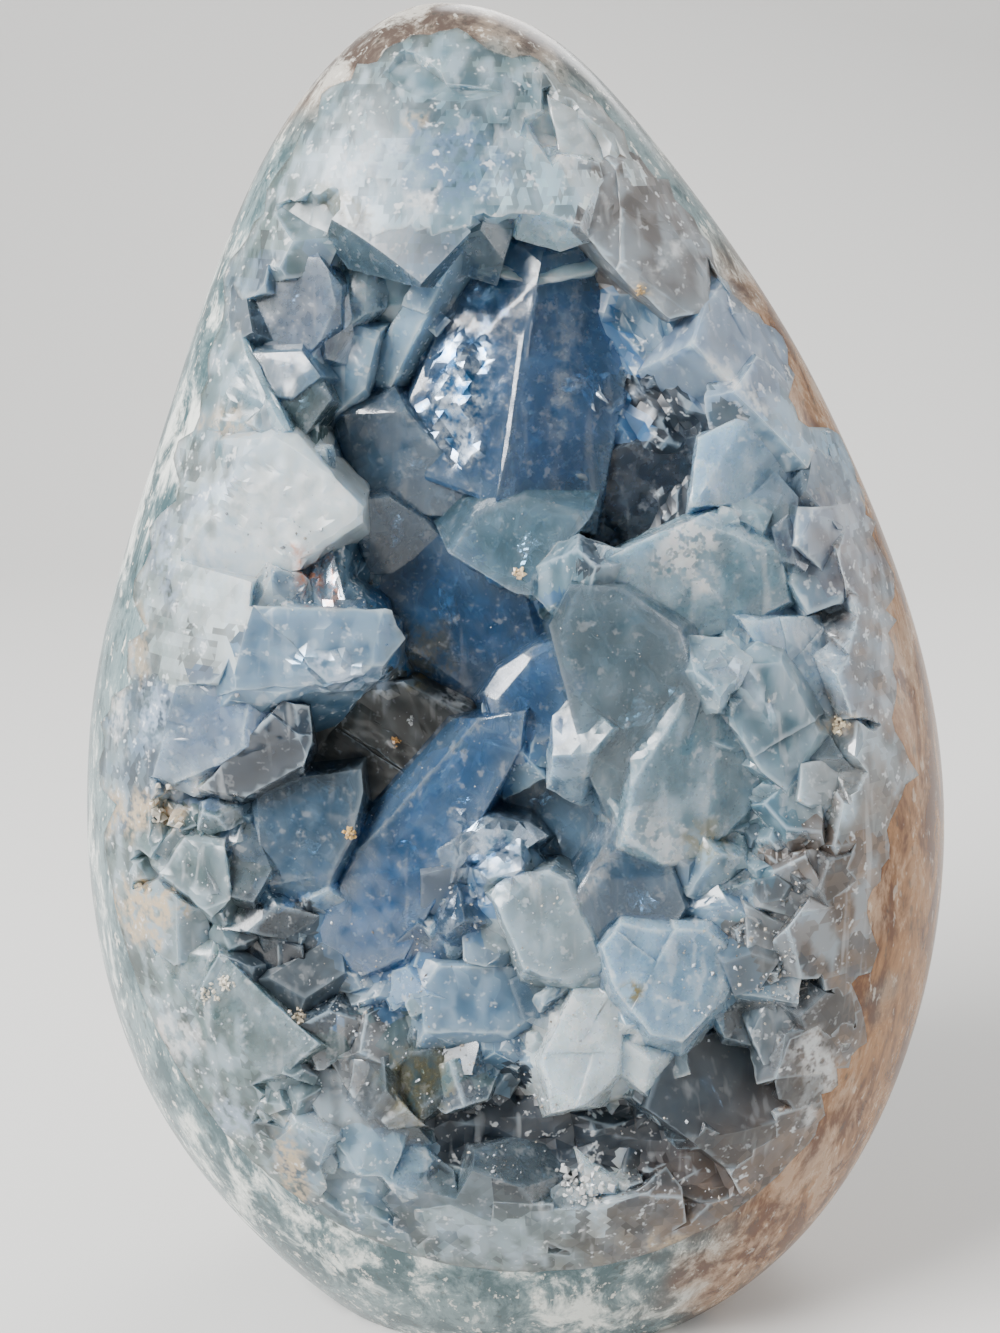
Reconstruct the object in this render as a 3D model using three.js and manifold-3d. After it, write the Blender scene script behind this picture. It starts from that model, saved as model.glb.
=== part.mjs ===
// Celestite crystal cluster: a ground and polished egg of celestite matrix, cut flat at the foot,
// with a hollow in its front that is lined with blue crystals grown together into one crust.
// Millimetres, +Z up, the front faces -Y, the origin is on the middle of the flat foot's plane.

import * as THREE from 'three';
import { ConvexGeometry } from 'three/addons/geometries/ConvexGeometry.js';
import { mergeVertices } from 'three/addons/utils/BufferGeometryUtils.js';
import Module from 'manifold-3d';

const wasm = await Module();
wasm.setup();

// Driving dimensions of the polished egg.
const HEIGHT = 130;                 // foot to crown
const FOOT_CUT = 8.7;               // how much of the round foot the flat cut took away
const LEFT_REACH = [24, 28.5, 32, 39.5, 43, 40, 39.5];    // half width by station, crown to foot
const RIGHT_REACH = [37.5, 33, 38.5, 45, 48.5, 52, 53.5];
const CROWN_LEAN = -5.5;            // the crown sits this far off the middle
const FRONT_DEPTH = 0.70;           // depth of the front half as a share of the half width
const BACK_DEPTH = 0.74;
const SQUARENESS = 2.1;             // 2 is a true oval section, more is squarer
const STAND_MIDDLE = [-1.6, -1.5];  // brings the middle of the whole stone over the origin
const EGG_ROWS = 27;
const EGG_COLUMNS = 36;

// The line of sight that the crystals are laid out along, a little above the horizontal.
const SIGHT_RISE = THREE.MathUtils.degToRad(15);
const SIGHT_HEIGHT = 67;            // height of the point that the view is centred on
const EYE_DISTANCE = 200;

// The hollow: its rim as seen from the front (right, up), and its depths.
const RIM = [
  [-6, 62.6], [4, 60], [12, 53.5], [21.5, 41], [29, 30], [36, 18], [39.5, 6], [40, -8], [38, -22],
  [35.5, -36], [31, -48], [22, -58], [8, -64.2], [-6, -64.6], [-16.5, -60], [-26, -50.5],
  [-35, -37], [-39.5, -24], [-39.6, -10], [-36.5, 5], [-31, 24], [-25, 43.5], [-16, 57.5],
];
const RIM_COLUMNS = 36;
const RIM_REACH = 38;               // usual distance from the middle of the hollow out to its rim
const MOUTH_NEAR = 55;              // the cut for the hollow is carried forward to here
const BOWL_FLOOR = -4;              // depth of the bowl's floor, measured towards the eye
const BOWL_ROWS = 5;
const HOLLOW_DEPTH = 18;            // how far the ground between the crystals sinks at the middle
const HOLLOW_FLATNESS = 2.4;        // a higher number gives a flatter floor and steeper walls
const RIM_PROUD = 1;                // the ground passes the polished surface at the rim, which trims it
const GROUND_RINGS = [0, 0.3, 0.55, 0.78, 1];
const GROUND_ROUGHNESS = 1.1;
const GROUND_SKIRT = 1.12;          // the untrimmed ground is wider than the rim by this much
const GROUND_BACKING = 8;           // and reaches this far behind the bowl's floor
const CLEARANCE = 0.45;             // gap between the crust's back and the bowl that holds it

const ROOT_DEPTH = 16;              // length of a large crystal from its face to its root
const ROOT_FLARE = 1.16;            // the root is wider than the face by this much
const ROOT_COVER = 1;               // the crust is at least this thick behind a root

// Small druse crystals that fill the ground between the large ones.
const DRUSE_SPACING = 8;
const DRUSE_SIZE = [2.8, 4.8];
const DRUSE_LENGTH = [1, 1.9];      // length as a share of the size
const DRUSE_PROUD = 1.2;            // how far the small crystals stand out of the ground
const DRUSE_SUNK = 0.4;             // and how much of their size sits in it
const DRUSE_JITTER = 0.6;           // how far a crystal strays from its place on the grid
const DRUSE_FIELD = { left: -40, right: 42, top: 60, foot: -66 };

// The habit of a celestite crystal: the angles of its prism and dome faces and their distances.
const PRISM_ANGLE = THREE.MathUtils.degToRad(38);
const DOME_ANGLE = THREE.MathUtils.degToRad(52.1);
const FLAT_DISTANCE = 0.55;
const DOME_DISTANCE = 0.74;
const PRISM_SHARE = 0.8;

const CURVE_TENSION = 0.5;
const SEARCH_REACH = 60;            // the polished surface lies within this distance of the middle
const SEARCH_STEPS = 30;
const MERGE_DISTANCE = 1e-4;
const TINY = 1e-6;

// Large crystals, read along the line of sight. face: the outline of the front face (right, up).
// sink: how far the face lies under the polished surface. tilt: its slope to the right and upwards.
// frame: bevel width and drop around the face. lean: where the root lies beside the face.
const CRYSTALS = [
  { name: 'pale tablet at the crown', sink: -1.5, tilt: [0.05, -0.5], lean: [0, 3],
    face: [[-18.6, 54], [-15, 61], [-6, 62.6], [1.8, 57.5], [0, 49.2], [-4.2, 43], [-13.8, 43.2],
      [-17.4, 47]] },
  { name: 'six-sided prism beside the tablet', sink: -0.6, tilt: [-0.3, -0.45], lean: [0, 2],
    face: [[-1, 49.6], [0.7, 53.1], [2.6, 55.4], [5.5, 50.6], [5.2, 48.2], [3.6, 44.9], [-1.5, 44.8]] },
  { name: 'grey-green prism at the crown', sink: 1, tilt: [-0.6, -0.3], frame: [1, 1.3], lean: [0, 1],
    face: [[5, 57], [7.2, 58.6], [9.1, 56], [11.2, 52], [11.3, 49.4], [9.1, 47.2], [7, 47.4]] },
  { name: 'smoky massive face', sink: 0.6, tilt: [-0.5, -0.25], lean: [-1, 0],
    face: [[7, 46], [12, 50.6], [15, 52.6], [21.5, 42.5], [23.5, 36.6], [17, 35.6], [13, 39]] },
  { name: 'lavender crystal, upper left', sink: 2.6, tilt: [0.35, -0.1], frame: [2.2, 1.7],
    face: [[-25, 37.8], [-20.8, 41.5], [-18.8, 41.4], [-16.3, 37.8], [-16.4, 34.7], [-19.9, 31],
      [-24.4, 33]] },
  { name: 'small clear crystal', sink: 2, tilt: [0.3, 0],
    face: [[-24.7, 31.2], [-20, 31.4], [-18.3, 29], [-20.8, 27], [-24.2, 27.4]] },
  { name: 'grey block at the left edge', sink: 0.4, tilt: [0.5, 0], lean: [1, 0],
    face: [[-29.5, 31], [-26, 33], [-24.8, 28], [-21.6, 24], [-25, 22], [-31, 22.5]] },
  { name: 'olive crystal under it', sink: 3.2, tilt: [0.25, 0.2],
    face: [[-18.3, 29], [-17.1, 26.6], [-19.9, 22.9], [-23.6, 23.7], [-24.2, 27], [-21.3, 27.6]] },
  { name: 'translucent shoulder', sink: 1.6, tilt: [0.4, -0.3],
    face: [[-26, 46], [-20, 48], [-16, 45.5], [-15, 43.4], [-19.5, 44.4], [-25, 42.4]] },
  { name: 'glassy facet behind the blade', sink: 9, tilt: [0.1, 0.2],
    face: [[-15, 42.4], [-6.5, 42.4], [-8, 38.4], [-12.4, 32], [-14.6, 36.6]] },
  { name: 'dark sliver behind the blade', sink: 7.5, tilt: [0.2, 0.1],
    face: [[-14.6, 33.4], [-12.4, 33], [-13.6, 28], [-17, 25.4], [-17.4, 29.6]] },
  { name: 'long blade', sink: 8, tilt: [0.55, 0.1], lean: [2.8, -1],
    face: [[-5.9, 42.7], [-3.4, 43], [-11.6, 27.2], [-16.3, 24.8], [-7.9, 39.4]] },
  { name: 'great blue crystal, left face', sink: 9.6, tilt: [0.28, 0.05], lean: [0, 3.5],
    face: [[-3, 42], [3.5, 39.8], [0.3, 17], [-7, 19.6], [-9.8, 27], [-4.3, 38.9]] },
  { name: 'great blue crystal, right face', sink: 9.6, tilt: [-0.45, 0.06], lean: [0, 3.5],
    face: [[3.5, 39.8], [10.9, 41.4], [13.4, 33.4], [11.5, 25], [9.3, 14.8], [0.3, 17]] },
  { name: 'great blue crystal, foot', sink: 11, tilt: [0.15, 0.25], lean: [1, 2],
    face: [[-15.8, 24.6], [-10.5, 26.4], [-7.3, 22.5], [-1.4, 15.5], [-7.9, 15.2], [-14.4, 18.5]] },
  { name: 'dark facet, top of the recess', sink: 14, tilt: [0.3, -0.4],
    face: [[12.6, 35], [17.5, 36.4], [20, 34], [19, 31.2], [11.5, 27.6]] },
  { name: 'dark facet, middle of the recess', sink: 14.5, tilt: [0.1, 0.35],
    face: [[11, 24.6], [20, 30.8], [20.5, 25.4], [11.5, 22.4]] },
  { name: 'dark facet, foot of the recess', sink: 15.5, tilt: [0.05, 0.15],
    face: [[10, 14.7], [11.5, 22], [20.5, 24.4], [20, 18.6], [16.5, 13.6], [12, 12]] },
  { name: 'ridged crystal, upper right', sink: 0.6, tilt: [-0.7, -0.2], lean: [-3.4, -2],
    face: [[21.3, 37.4], [23.6, 39.2], [27.9, 33.3], [33, 25.6], [27.2, 25], [19.7, 32.2],
      [20.3, 34.1]] },
  { name: 'pale blue crystal, right', sink: 2.6, tilt: [-0.5, 0.25],
    face: [[20.5, 22.7], [23.6, 24.3], [30.5, 24.8], [33.3, 23.2], [36.4, 18.4], [30.5, 16.8],
      [19.6, 16.4]] },
  { name: 'purple-grey block, right edge', sink: 0.8, tilt: [-0.9, 0.1], lean: [-1, 0],
    face: [[30.4, 15.5], [37, 16], [38.8, 10.7], [33, 9.2], [29.8, 12.2]] },
  { name: 'crystal with the white patch', sink: 4, tilt: [-0.35, 0.2],
    face: [[10.8, 10.2], [15.7, 12.7], [20.7, 14.6], [28.6, 11.6], [32.6, 8.2], [25.4, 4.6],
      [17.2, 3], [13.4, 5.8]] },
  { name: 'pale green crystal, main face', sink: 3, tilt: [-0.12, 0.25], frame: [0.7, 1.1],
    face: [[5.6, 3.4], [7.5, 7], [12.2, 6.8], [17.4, 3.3], [19.5, -3], [16, -15], [13, -16.8],
      [8.8, -9.1]] },
  { name: 'pale green crystal, lower face', sink: 4.4, tilt: [-0.3, 0.3],
    face: [[19, -2], [22, -4], [25.5, -11], [24, -16], [21.6, -18], [16.3, -19.1], [13, -17],
      [14, -9]] },
  { name: 'rounded crystal', sink: 2.4, tilt: [-0.45, 0.1], frame: [0.8, 0.9],
    face: [[22.8, -0.2], [26, 1.5], [28.3, 0.8], [31, -2.1], [33.2, -5.6], [32.6, -7.8],
      [28.9, -12], [26.3, -9.9], [23.6, -5.6]] },
  { name: 'blue-grey crystal behind it', sink: 4, tilt: [-0.6, 0],
    face: [[24.5, 4.4], [33, 4.6], [36, -2.4], [33.5, -5.4], [27, 0.8]] },
  { name: 'pale knob, right', sink: 2, tilt: [-0.7, -0.1],
    face: [[30.4, -10], [35, -9.2], [36.2, -13], [33, -14.8], [30, -13.2]] },
  { name: 'deep blue slab', sink: 13.5, tilt: [0.1, -0.1],
    face: [[-12, 9.4], [-8, 13.4], [-3, 9.4], [4, 6.7], [5.5, 3.3], [-1.3, -1.4], [-3.1, -3.4],
      [-7.8, -1.4]] },
  { name: 'striated facet over the slab', sink: 12, tilt: [-0.2, 0.35],
    face: [[-15, 16.4], [-11, 16.6], [-7.2, 14.2], [-4.3, 11], [-8.4, 9.6], [-12.6, 9.6]] },
  { name: 'translucent tip', sink: 7, tilt: [0, -0.3], lean: [0, 4],
    face: [[-4.6, 11.4], [-1.9, 15.4], [2.2, 16.6], [8.5, 14.6], [5.7, 12.6], [5, 10.3], [3.1, 7.3],
      [1.6, 7.6]] },
  { name: 'milky crystal, left', sink: 1.4, tilt: [0.25, 0.1],
    face: [[-31.1, 19.6], [-26.8, 21.8], [-22.8, 22.7], [-20.4, 22.2], [-14.6, 15.8], [-14.6, 14.6],
      [-19.9, 11.8], [-29, 5], [-34, 7]] },
  { name: 'milky foot, left edge', sink: -1, tilt: [0.5, 0.05],
    face: [[-35.6, 10.6], [-25.5, 8], [-26, 4.4], [-28.5, -1], [-36, -1.4], [-37.6, 4.6]] },
  { name: 'copper striped facet', sink: 5, tilt: [0.3, -0.4], lean: [-1, 0],
    face: [[-21.2, 11.4], [-17, 12.1], [-15.5, 6.4], [-18, 5.9]] },
  { name: 'crystal pointing right', sink: 2.4, tilt: [0.08, 0.3], lean: [-4, -4.2],
    face: [[-26.8, 5.7], [-11.4, 5.3], [-9.8, 3.2], [-12, 0.4], [-21.4, -2.4], [-26, -2]] },
  { name: 'lavender crystal, left', sink: 1.4, tilt: [0.3, 0.15],
    face: [[-37, -2], [-35.2, -1.6], [-22.8, -1.8], [-22.2, -2.8], [-24.9, -7.2], [-29, -9.6],
      [-32.2, -10.9], [-36.8, -9.6]] },
  { name: 'dark crystal under it', sink: 4, tilt: [0.2, 0.4], lean: [0, -1],
    face: [[-21.8, -4], [-19.4, -4.6], [-19, -7.6], [-19.8, -9.8], [-25.2, -12.7], [-29.6, -12],
      [-25, -7.3]] },
  { name: 'small crystal, left edge', sink: 2.4, tilt: [0.5, 0],
    face: [[-34.8, -18], [-31.4, -17], [-27.8, -17.6], [-27.2, -23], [-29.3, -24.8], [-33.9, -21]] },
  { name: 'smooth crystal, centre left', sink: 7.5, tilt: [0.15, 0.1],
    face: [[-24.6, -13], [-20.1, -11.6], [-14.4, -11], [-14.2, -12.7], [-15, -16.7], [-17.7, -21.8],
      [-22, -22.1], [-24.2, -19.6]] },
  { name: 'green crystal, lower left', sink: 0.4, tilt: [0.35, -0.1],
    face: [[-37, -30.8], [-32.7, -27.4], [-29.6, -27.4], [-24.4, -34.6], [-19.4, -37.4], [-22, -39.8],
      [-28.1, -41.6], [-34, -42]] },
  { name: 'dark glass crystal', sink: 6, tilt: [0.2, 0.1],
    face: [[-28.5, -25.9], [-20, -28.2], [-18.6, -35.6], [-24, -33.6]] },
  { name: 'long diagonal prism', sink: 9, tilt: [0.2, 0.1], frame: [1, 1],
    face: [[-4.6, -6.6], [1.6, -5.6], [1.2, -8.9], [-4.6, -16.9], [-9.4, -28], [-16.6, -31],
      [-17.6, -26.9], [-12.5, -15.4]] },
  { name: 'striated head of the prism', sink: 8.6, tilt: [0.2, -0.2],
    face: [[-1, -2.4], [0.2, -0.6], [3, 1.3], [5.3, 2], [6.2, -1.4], [7.6, -6.2], [4, -7.5], [0, -6]] },
  { name: 'deep facet, centre', sink: 12.5, tilt: [0.2, 0.1],
    face: [[2, -9.2], [6, -12.4], [10.6, -15.9], [9, -19.7], [4, -19.2], [0, -13.4]] },
  { name: 'cleaved crystal, centre', sink: 8, tilt: [-0.2, 0.3],
    face: [[-5, -18.4], [-1.2, -15.4], [2.6, -15.9], [3.8, -17], [-1.2, -21.5], [-4.5, -21]] },
  { name: 'pale crystal, centre', sink: 5, tilt: [-0.1, 0.1],
    face: [[-0.2, -23.2], [1.3, -21.6], [4.9, -20.8], [7.7, -22.4], [10.4, -29.4], [7.4, -31.2],
      [2.6, -29.8]] },
  { name: 'blue crystal with a pale edge', sink: 6, tilt: [-0.1, 0.2],
    face: [[7.8, -23.1], [12.3, -16.2], [16.4, -19], [18.2, -24], [17, -26.2], [10.6, -28.4]] },
  { name: 'pale blue crystal, lower right', sink: 3.4, tilt: [-0.2, 0],
    face: [[11, -28.4], [12.9, -25.9], [21.1, -26.2], [23.2, -29], [21.8, -33.2], [18.1, -37],
      [15.2, -36.4], [12.2, -32.5]] },
  { name: 'pale upright slab', sink: 3, tilt: [-0.15, -0.1],
    face: [[7.5, -32.8], [11.8, -32.8], [12.1, -36.3], [11.5, -40.6], [8.6, -43.3], [5.7, -43.8],
      [4.4, -39.5]] },
  { name: 'flat bluish druse', sink: 7, tilt: [0, 0.05],
    face: [[-7.4, -29.9], [2, -30.4], [4, -34.4], [2, -37.2], [-7, -37.2]] },
  { name: 'dark blue facet, low recess', sink: 10, tilt: [0.3, 0.1],
    face: [[-5.6, -43.6], [-1.8, -48.9], [-1.2, -53.6], [-4.8, -51], [-6.8, -46]] },
  { name: 'pale tooth', sink: 4, tilt: [0.2, 0],
    face: [[-17, -39.1], [-13.2, -39.6], [-10.4, -43.3], [-8.6, -45.2], [-11.2, -45.8], [-14.6, -43]] },
  { name: 'olive crystal beside it', sink: 5.5, tilt: [0, -0.1],
    face: [[-10.5, -38.6], [-6.2, -38.2], [-4.8, -42.4], [-8, -45], [-10, -43]] },
  { name: 'grey-blue crystal, foot', sink: 0.5, tilt: [0.2, -0.45], frame: [0.8, 1.1], lean: [0, 2],
    face: [[-19.4, -51.4], [-18, -49.2], [-14.2, -49.6], [-9.2, -54.2], [-10.2, -60.4], [-14.2, -60.8],
      [-17, -57.6]] },
  { name: 'small pale crystals, foot', sink: 2.4, tilt: [0.1, -0.3], lean: [0, 1],
    face: [[-14, -48.2], [-11.3, -46.6], [-8.5, -46.9], [-6.5, -49.5], [-8.2, -52.6], [-9.8, -52.9]] },
  { name: 'pale crystal, foot', sink: 0.4, tilt: [0, -0.6], lean: [0, 2],
    face: [[-3.3, -58], [0.6, -55.9], [3.5, -56.2], [6.1, -59.4], [1.3, -62], [-2.2, -61.3]] },
  { name: 'pale shard, foot', sink: 3, tilt: [0, -0.5], lean: [0, 1],
    face: [[-6.8, -51.8], [-5.4, -51], [-1.3, -54.4], [-4.6, -54.8]] },
  { name: 'grey crystal, foot', sink: 4, tilt: [0, -0.3], lean: [0, 1],
    face: [[2, -49], [6, -48.2], [8.6, -51.8], [5, -55.4], [1.4, -53.8]] },
  { name: 'bright chip, foot', sink: 2.4, tilt: [-0.2, -0.4], lean: [0, 1],
    face: [[8.3, -49.2], [11.7, -51], [11.3, -52.5], [8.9, -52.4]] },
  { name: 'grey slab, foot', sink: 1.4, tilt: [-0.3, -0.5], lean: [0, 1],
    face: [[13.7, -55], [21.1, -53], [22.8, -54], [21.1, -57.2], [16.1, -57.4]] },
  { name: 'dark massive face, lower right', sink: 2.8, tilt: [-0.35, -0.2],
    face: [[19, -37], [24.7, -36], [28.6, -36], [29.4, -45], [27, -48.8], [23.6, -46.4],
      [17.6, -42.4]] },
  { name: 'dark massive face, lower', sink: 3.2, tilt: [-0.2, -0.35],
    face: [[20, -44.6], [26.6, -49.6], [27.4, -52], [20, -52.6], [15, -49]] },
  { name: 'brown crystal, right', sink: 1.5, tilt: [-0.6, -0.1],
    face: [[29.6, -18.8], [33.2, -17.7], [34.2, -20.9], [31.4, -22.3], [29.3, -20.5]] },
  { name: 'brown crystal, lower right', sink: 2.4, tilt: [-0.4, -0.1],
    face: [[24.7, -24], [29.6, -26.5], [29.6, -29], [25, -28.3]] },
];

// A steady source of numbers from 0 to 1, so that the crust comes out the same every time.
function randomSource(seed) {
  const multiplier = 1664525;
  const increment = 1013904223;
  const range = 2 ** 32;
  let state = seed;
  return () => {
    state = (state * multiplier + increment) % range;
    return state / range;
  };
}

// Half widths of the egg run smoothly through their stations, from the crown (0) to the foot (1).
function reachCurve(reaches) {
  const points = reaches.map((reach, station) => new THREE.Vector3(reach, 0, station));
  return new THREE.CatmullRomCurve3(points, false, 'catmullrom', CURVE_TENSION);
}

const leftCurve = reachCurve(LEFT_REACH);
const rightCurve = reachCurve(RIGHT_REACH);
const EGG_MIDDLE = (HEIGHT - FOOT_CUT) / 2;
const EGG_HALF = (HEIGHT + FOOT_CUT) / 2;

// The section at an angle down from the crown: its middle, half width and height.
function eggSection(down) {
  const share = down / Math.PI;
  const left = -Math.sin(down) * leftCurve.getPoint(share).x;
  const right = Math.sin(down) * rightCurve.getPoint(share).x;
  const nearCrown = ((1 + Math.cos(down)) / 2) ** 2;
  return {
    middle: (left + right) / 2 + CROWN_LEAN * nearCrown,
    halfWidth: (right - left) / 2,
    z: EGG_MIDDLE + EGG_HALF * Math.cos(down),
  };
}

const rounded = (value) => Math.sign(value) * Math.abs(value) ** (2 / SQUARENESS);

function eggPoint(down, around) {
  const { middle, halfWidth, z } = eggSection(down);
  const depth = Math.sin(around) < 0 ? FRONT_DEPTH : BACK_DEPTH;
  return new THREE.Vector3(
    middle + halfWidth * rounded(Math.cos(around)),
    halfWidth * depth * rounded(Math.sin(around)),
    z,
  );
}

// Below zero inside the egg, above zero outside it.
function eggSide(point) {
  const up = (point.z - EGG_MIDDLE) / EGG_HALF;
  if (Math.abs(up) >= 1) return 1;
  const { middle, halfWidth } = eggSection(Math.acos(up));
  const across = Math.abs((point.x - middle) / halfWidth) ** SQUARENESS;
  const through = Math.abs(point.y / (halfWidth * FRONT_DEPTH)) ** SQUARENESS;
  return across + through - 1;
}

// A point seen right and up of the view's centre, at a depth towards the eye, in the egg's frame.
function sightPoint(right, up, near) {
  const shrink = 1 - near / EYE_DISTANCE;
  const rise = up * shrink;
  return new THREE.Vector3(
    right * shrink,
    rise * Math.sin(SIGHT_RISE) - near * Math.cos(SIGHT_RISE),
    SIGHT_HEIGHT + rise * Math.cos(SIGHT_RISE) + near * Math.sin(SIGHT_RISE),
  );
}

// How near the eye the polished surface is along one line of sight, found by halving.
function surfaceNear(right, up) {
  let inside = 0;
  let outside = SEARCH_REACH;
  for (let step = 0; step < SEARCH_STEPS; step += 1) {
    const near = (inside + outside) / 2;
    if (eggSide(sightPoint(right, up, near)) < 0) inside = near;
    else outside = near;
  }
  return inside;
}

// A closed surface from rows of points: the first and last rows are single points.
function closedGrid(rows) {
  const columns = rows[1].length;
  const positions = rows.flat().flatMap((point) => [point.x, point.y, point.z]);
  const starts = rows.map((_, row) => (row === 0 ? 0 : 1 + (row - 1) * columns));
  const last = rows.length - 1;
  const index = [];
  for (let column = 0; column < columns; column += 1) {
    const next = (column + 1) % columns;
    index.push(0, starts[1] + column, starts[1] + next);
    for (let row = 1; row < last - 1; row += 1) {
      const a = starts[row] + column;
      const b = starts[row] + next;
      const c = starts[row + 1] + column;
      const d = starts[row + 1] + next;
      index.push(a, c, d, a, d, b);
    }
    index.push(starts[last], starts[last - 1] + next, starts[last - 1] + column);
  }
  const geometry = new THREE.BufferGeometry();
  geometry.setAttribute('position', new THREE.Float32BufferAttribute(positions, 3));
  geometry.setIndex(index);
  return geometry;
}

// A three.js geometry becomes an exact solid, and a solid becomes a geometry again.
function solidOf(geometry) {
  const bare = geometry.clone();
  bare.deleteAttribute('normal');
  bare.deleteAttribute('uv');
  const merged = mergeVertices(bare, MERGE_DISTANCE);
  return new wasm.Manifold(new wasm.Mesh({
    numProp: 3,
    vertProperties: Float32Array.from(merged.attributes.position.array),
    triVerts: Uint32Array.from(merged.index.array),
  }));
}

function geometryOf(solid) {
  const mesh = solid.getMesh();
  const geometry = new THREE.BufferGeometry();
  geometry.setAttribute('position', new THREE.BufferAttribute(mesh.vertProperties, 3));
  geometry.setIndex(new THREE.BufferAttribute(mesh.triVerts, 1));
  geometry.computeVertexNormals();
  return geometry;
}

// The whole egg, with the round foot cut off flat.
function makeEgg() {
  const rows = [[eggPoint(0, 0)]];
  for (let row = 1; row < EGG_ROWS; row += 1) {
    const down = (Math.PI * row) / EGG_ROWS;
    rows.push(Array.from({ length: EGG_COLUMNS }, (_, column) =>
      eggPoint(down, (2 * Math.PI * column) / EGG_COLUMNS)));
  }
  rows.push([eggPoint(Math.PI, 0)]);
  const room = 4 * HEIGHT;
  const above = new THREE.BoxGeometry(room, room, room);
  above.translate(0, 0, room / 2);
  return solidOf(closedGrid(rows)).intersect(solidOf(above));
}

const rimCurve = new THREE.CatmullRomCurve3(
  RIM.map(([right, up]) => new THREE.Vector3(right, up, 0)), true, 'catmullrom', CURVE_TENSION);
const rimPoints = Array.from({ length: RIM_COLUMNS }, (_, column) =>
  rimCurve.getPoint(1 - column / RIM_COLUMNS));
const rimNear = rimPoints.map((point) => surfaceNear(point.x, point.y));

// One ring of the bowl below the rim, at an angle from 0 (rim) to a right angle (floor).
function bowlRing(slope, gap) {
  return rimPoints.map((point, column) => {
    const scale = Math.cos(slope) - gap / RIM_REACH;
    const near = rimNear[column] + (BOWL_FLOOR + gap - rimNear[column]) * Math.sin(slope);
    return sightPoint(point.x * scale, point.y * scale, near);
  });
}

function bowlRows(gap) {
  const slopes = Array.from({ length: BOWL_ROWS }, (_, row) => (Math.PI / 2) * (row / BOWL_ROWS));
  return [...slopes.map((slope) => bowlRing(slope, gap)), [sightPoint(0, 0, BOWL_FLOOR + gap)]];
}

// The hollow that is cut out of the egg: the bowl, carried forward past the surface.
function makeBowl(gap) {
  const scale = 1 - gap / RIM_REACH;
  const mouth = rimPoints.map((point) => sightPoint(point.x * scale, point.y * scale, MOUTH_NEAR));
  return solidOf(closedGrid([[sightPoint(0, 0, MOUTH_NEAR)], mouth, ...bowlRows(gap)]));
}

// The share of the way from the middle of the hollow out to its rim, and how near the rim is there.
function shareOut([right, up]) {
  const angle = Math.atan2(up, right);
  const nearest = rimPoints.reduce((best, point, column) => {
    const turn = Math.abs(Math.atan2(point.y, point.x) - angle);
    const off = Math.min(turn, 2 * Math.PI - turn);
    return off < best.off ? { off, column } : best;
  }, { off: Infinity, column: 0 });
  const reach = Math.hypot(rimPoints[nearest.column].x, rimPoints[nearest.column].y);
  return { share: Math.min(Math.hypot(right, up) / reach, 1), near: rimNear[nearest.column] };
}

// How near the eye the bowl's wall is behind a spot.
function bowlNear(spot) {
  const { share, near } = shareOut(spot);
  return near + (BOWL_FLOOR - near) * Math.sqrt(1 - share ** 2);
}

// How far the ground lies under the polished surface, by its share of the way out to the rim.
const groundSink = (share) => HOLLOW_DEPTH * (1 - share ** HOLLOW_FLATNESS) - RIM_PROUD;

// The rough ground that the crystals grow from. It reaches past the bowl, which trims it.
function makeGround() {
  const random = randomSource(11);
  const front = GROUND_RINGS.map((share) => {
    const ring = share === 0 ? [new THREE.Vector3(0, 0, 0)] : rimPoints;
    return ring.map((point) => {
      const right = point.x * share;
      const up = point.y * share;
      const rough = share < 1 ? GROUND_ROUGHNESS * (2 * random() - 1) : 0;
      return sightPoint(right, up, surfaceNear(right, up) - groundSink(share) + rough);
    });
  });
  const skirt = (near) => rimPoints.map((point, column) =>
    sightPoint(point.x * GROUND_SKIRT, point.y * GROUND_SKIRT, near ?? rimNear[column] + 1));
  const back = BOWL_FLOOR - GROUND_BACKING;
  return solidOf(closedGrid([...front, skirt(), skirt(back), [sightPoint(0, 0, back)]]));
}

// A large crystal: the hull of its front face, the bevelled frame around it and its root.
function makeCrystal({ face, sink, tilt, frame = null, lean = [0, 0] }) {
  const middle = face.reduce((sum, [right, up]) => [sum[0] + right, sum[1] + up], [0, 0])
    .map((total) => total / face.length);
  const near = surfaceNear(...middle) - sink;
  const points = face.flatMap(([right, up]) => {
    const [offRight, offUp] = [right - middle[0], up - middle[1]];
    const level = near + tilt[0] * offRight + tilt[1] * offUp;
    const spread = (scale) => [middle[0] + offRight * scale, middle[1] + offUp * scale];
    const base = spread(ROOT_FLARE);
    const root = [base[0] + lean[0], base[1] + lean[1]];
    const rootNear = Math.max(level - ROOT_DEPTH, bowlNear(root) + ROOT_COVER);
    const corner = [sightPoint(right, up, level), sightPoint(...root, rootNear)];
    if (frame) {
      const [width, drop] = frame;
      const edge = spread(1 + width / Math.hypot(offRight, offUp));
      corner.push(sightPoint(...edge, level - drop));
    }
    return corner;
  });
  return solidOf(new ConvexGeometry(points));
}

// A small crystal's faces as directions and distances: the flat c face, the m prism and the o dome.
// Each distance is a share of the crystal's size.
function habitFaces(length) {
  const sides = [[1, 1], [1, -1], [-1, 1], [-1, -1]];
  const prism = sides.map(([x, y]) => [
    new THREE.Vector3(x * Math.cos(PRISM_ANGLE), y * Math.sin(PRISM_ANGLE), 0), length * PRISM_SHARE]);
  const dome = sides.map(([y, z]) => [
    new THREE.Vector3(0, y * Math.sin(DOME_ANGLE), z * Math.cos(DOME_ANGLE)), DOME_DISTANCE]);
  const flat = [1, -1].map((z) => [new THREE.Vector3(0, 0, z), FLAT_DISTANCE]);
  return [...prism, ...dome, ...flat];
}

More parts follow.
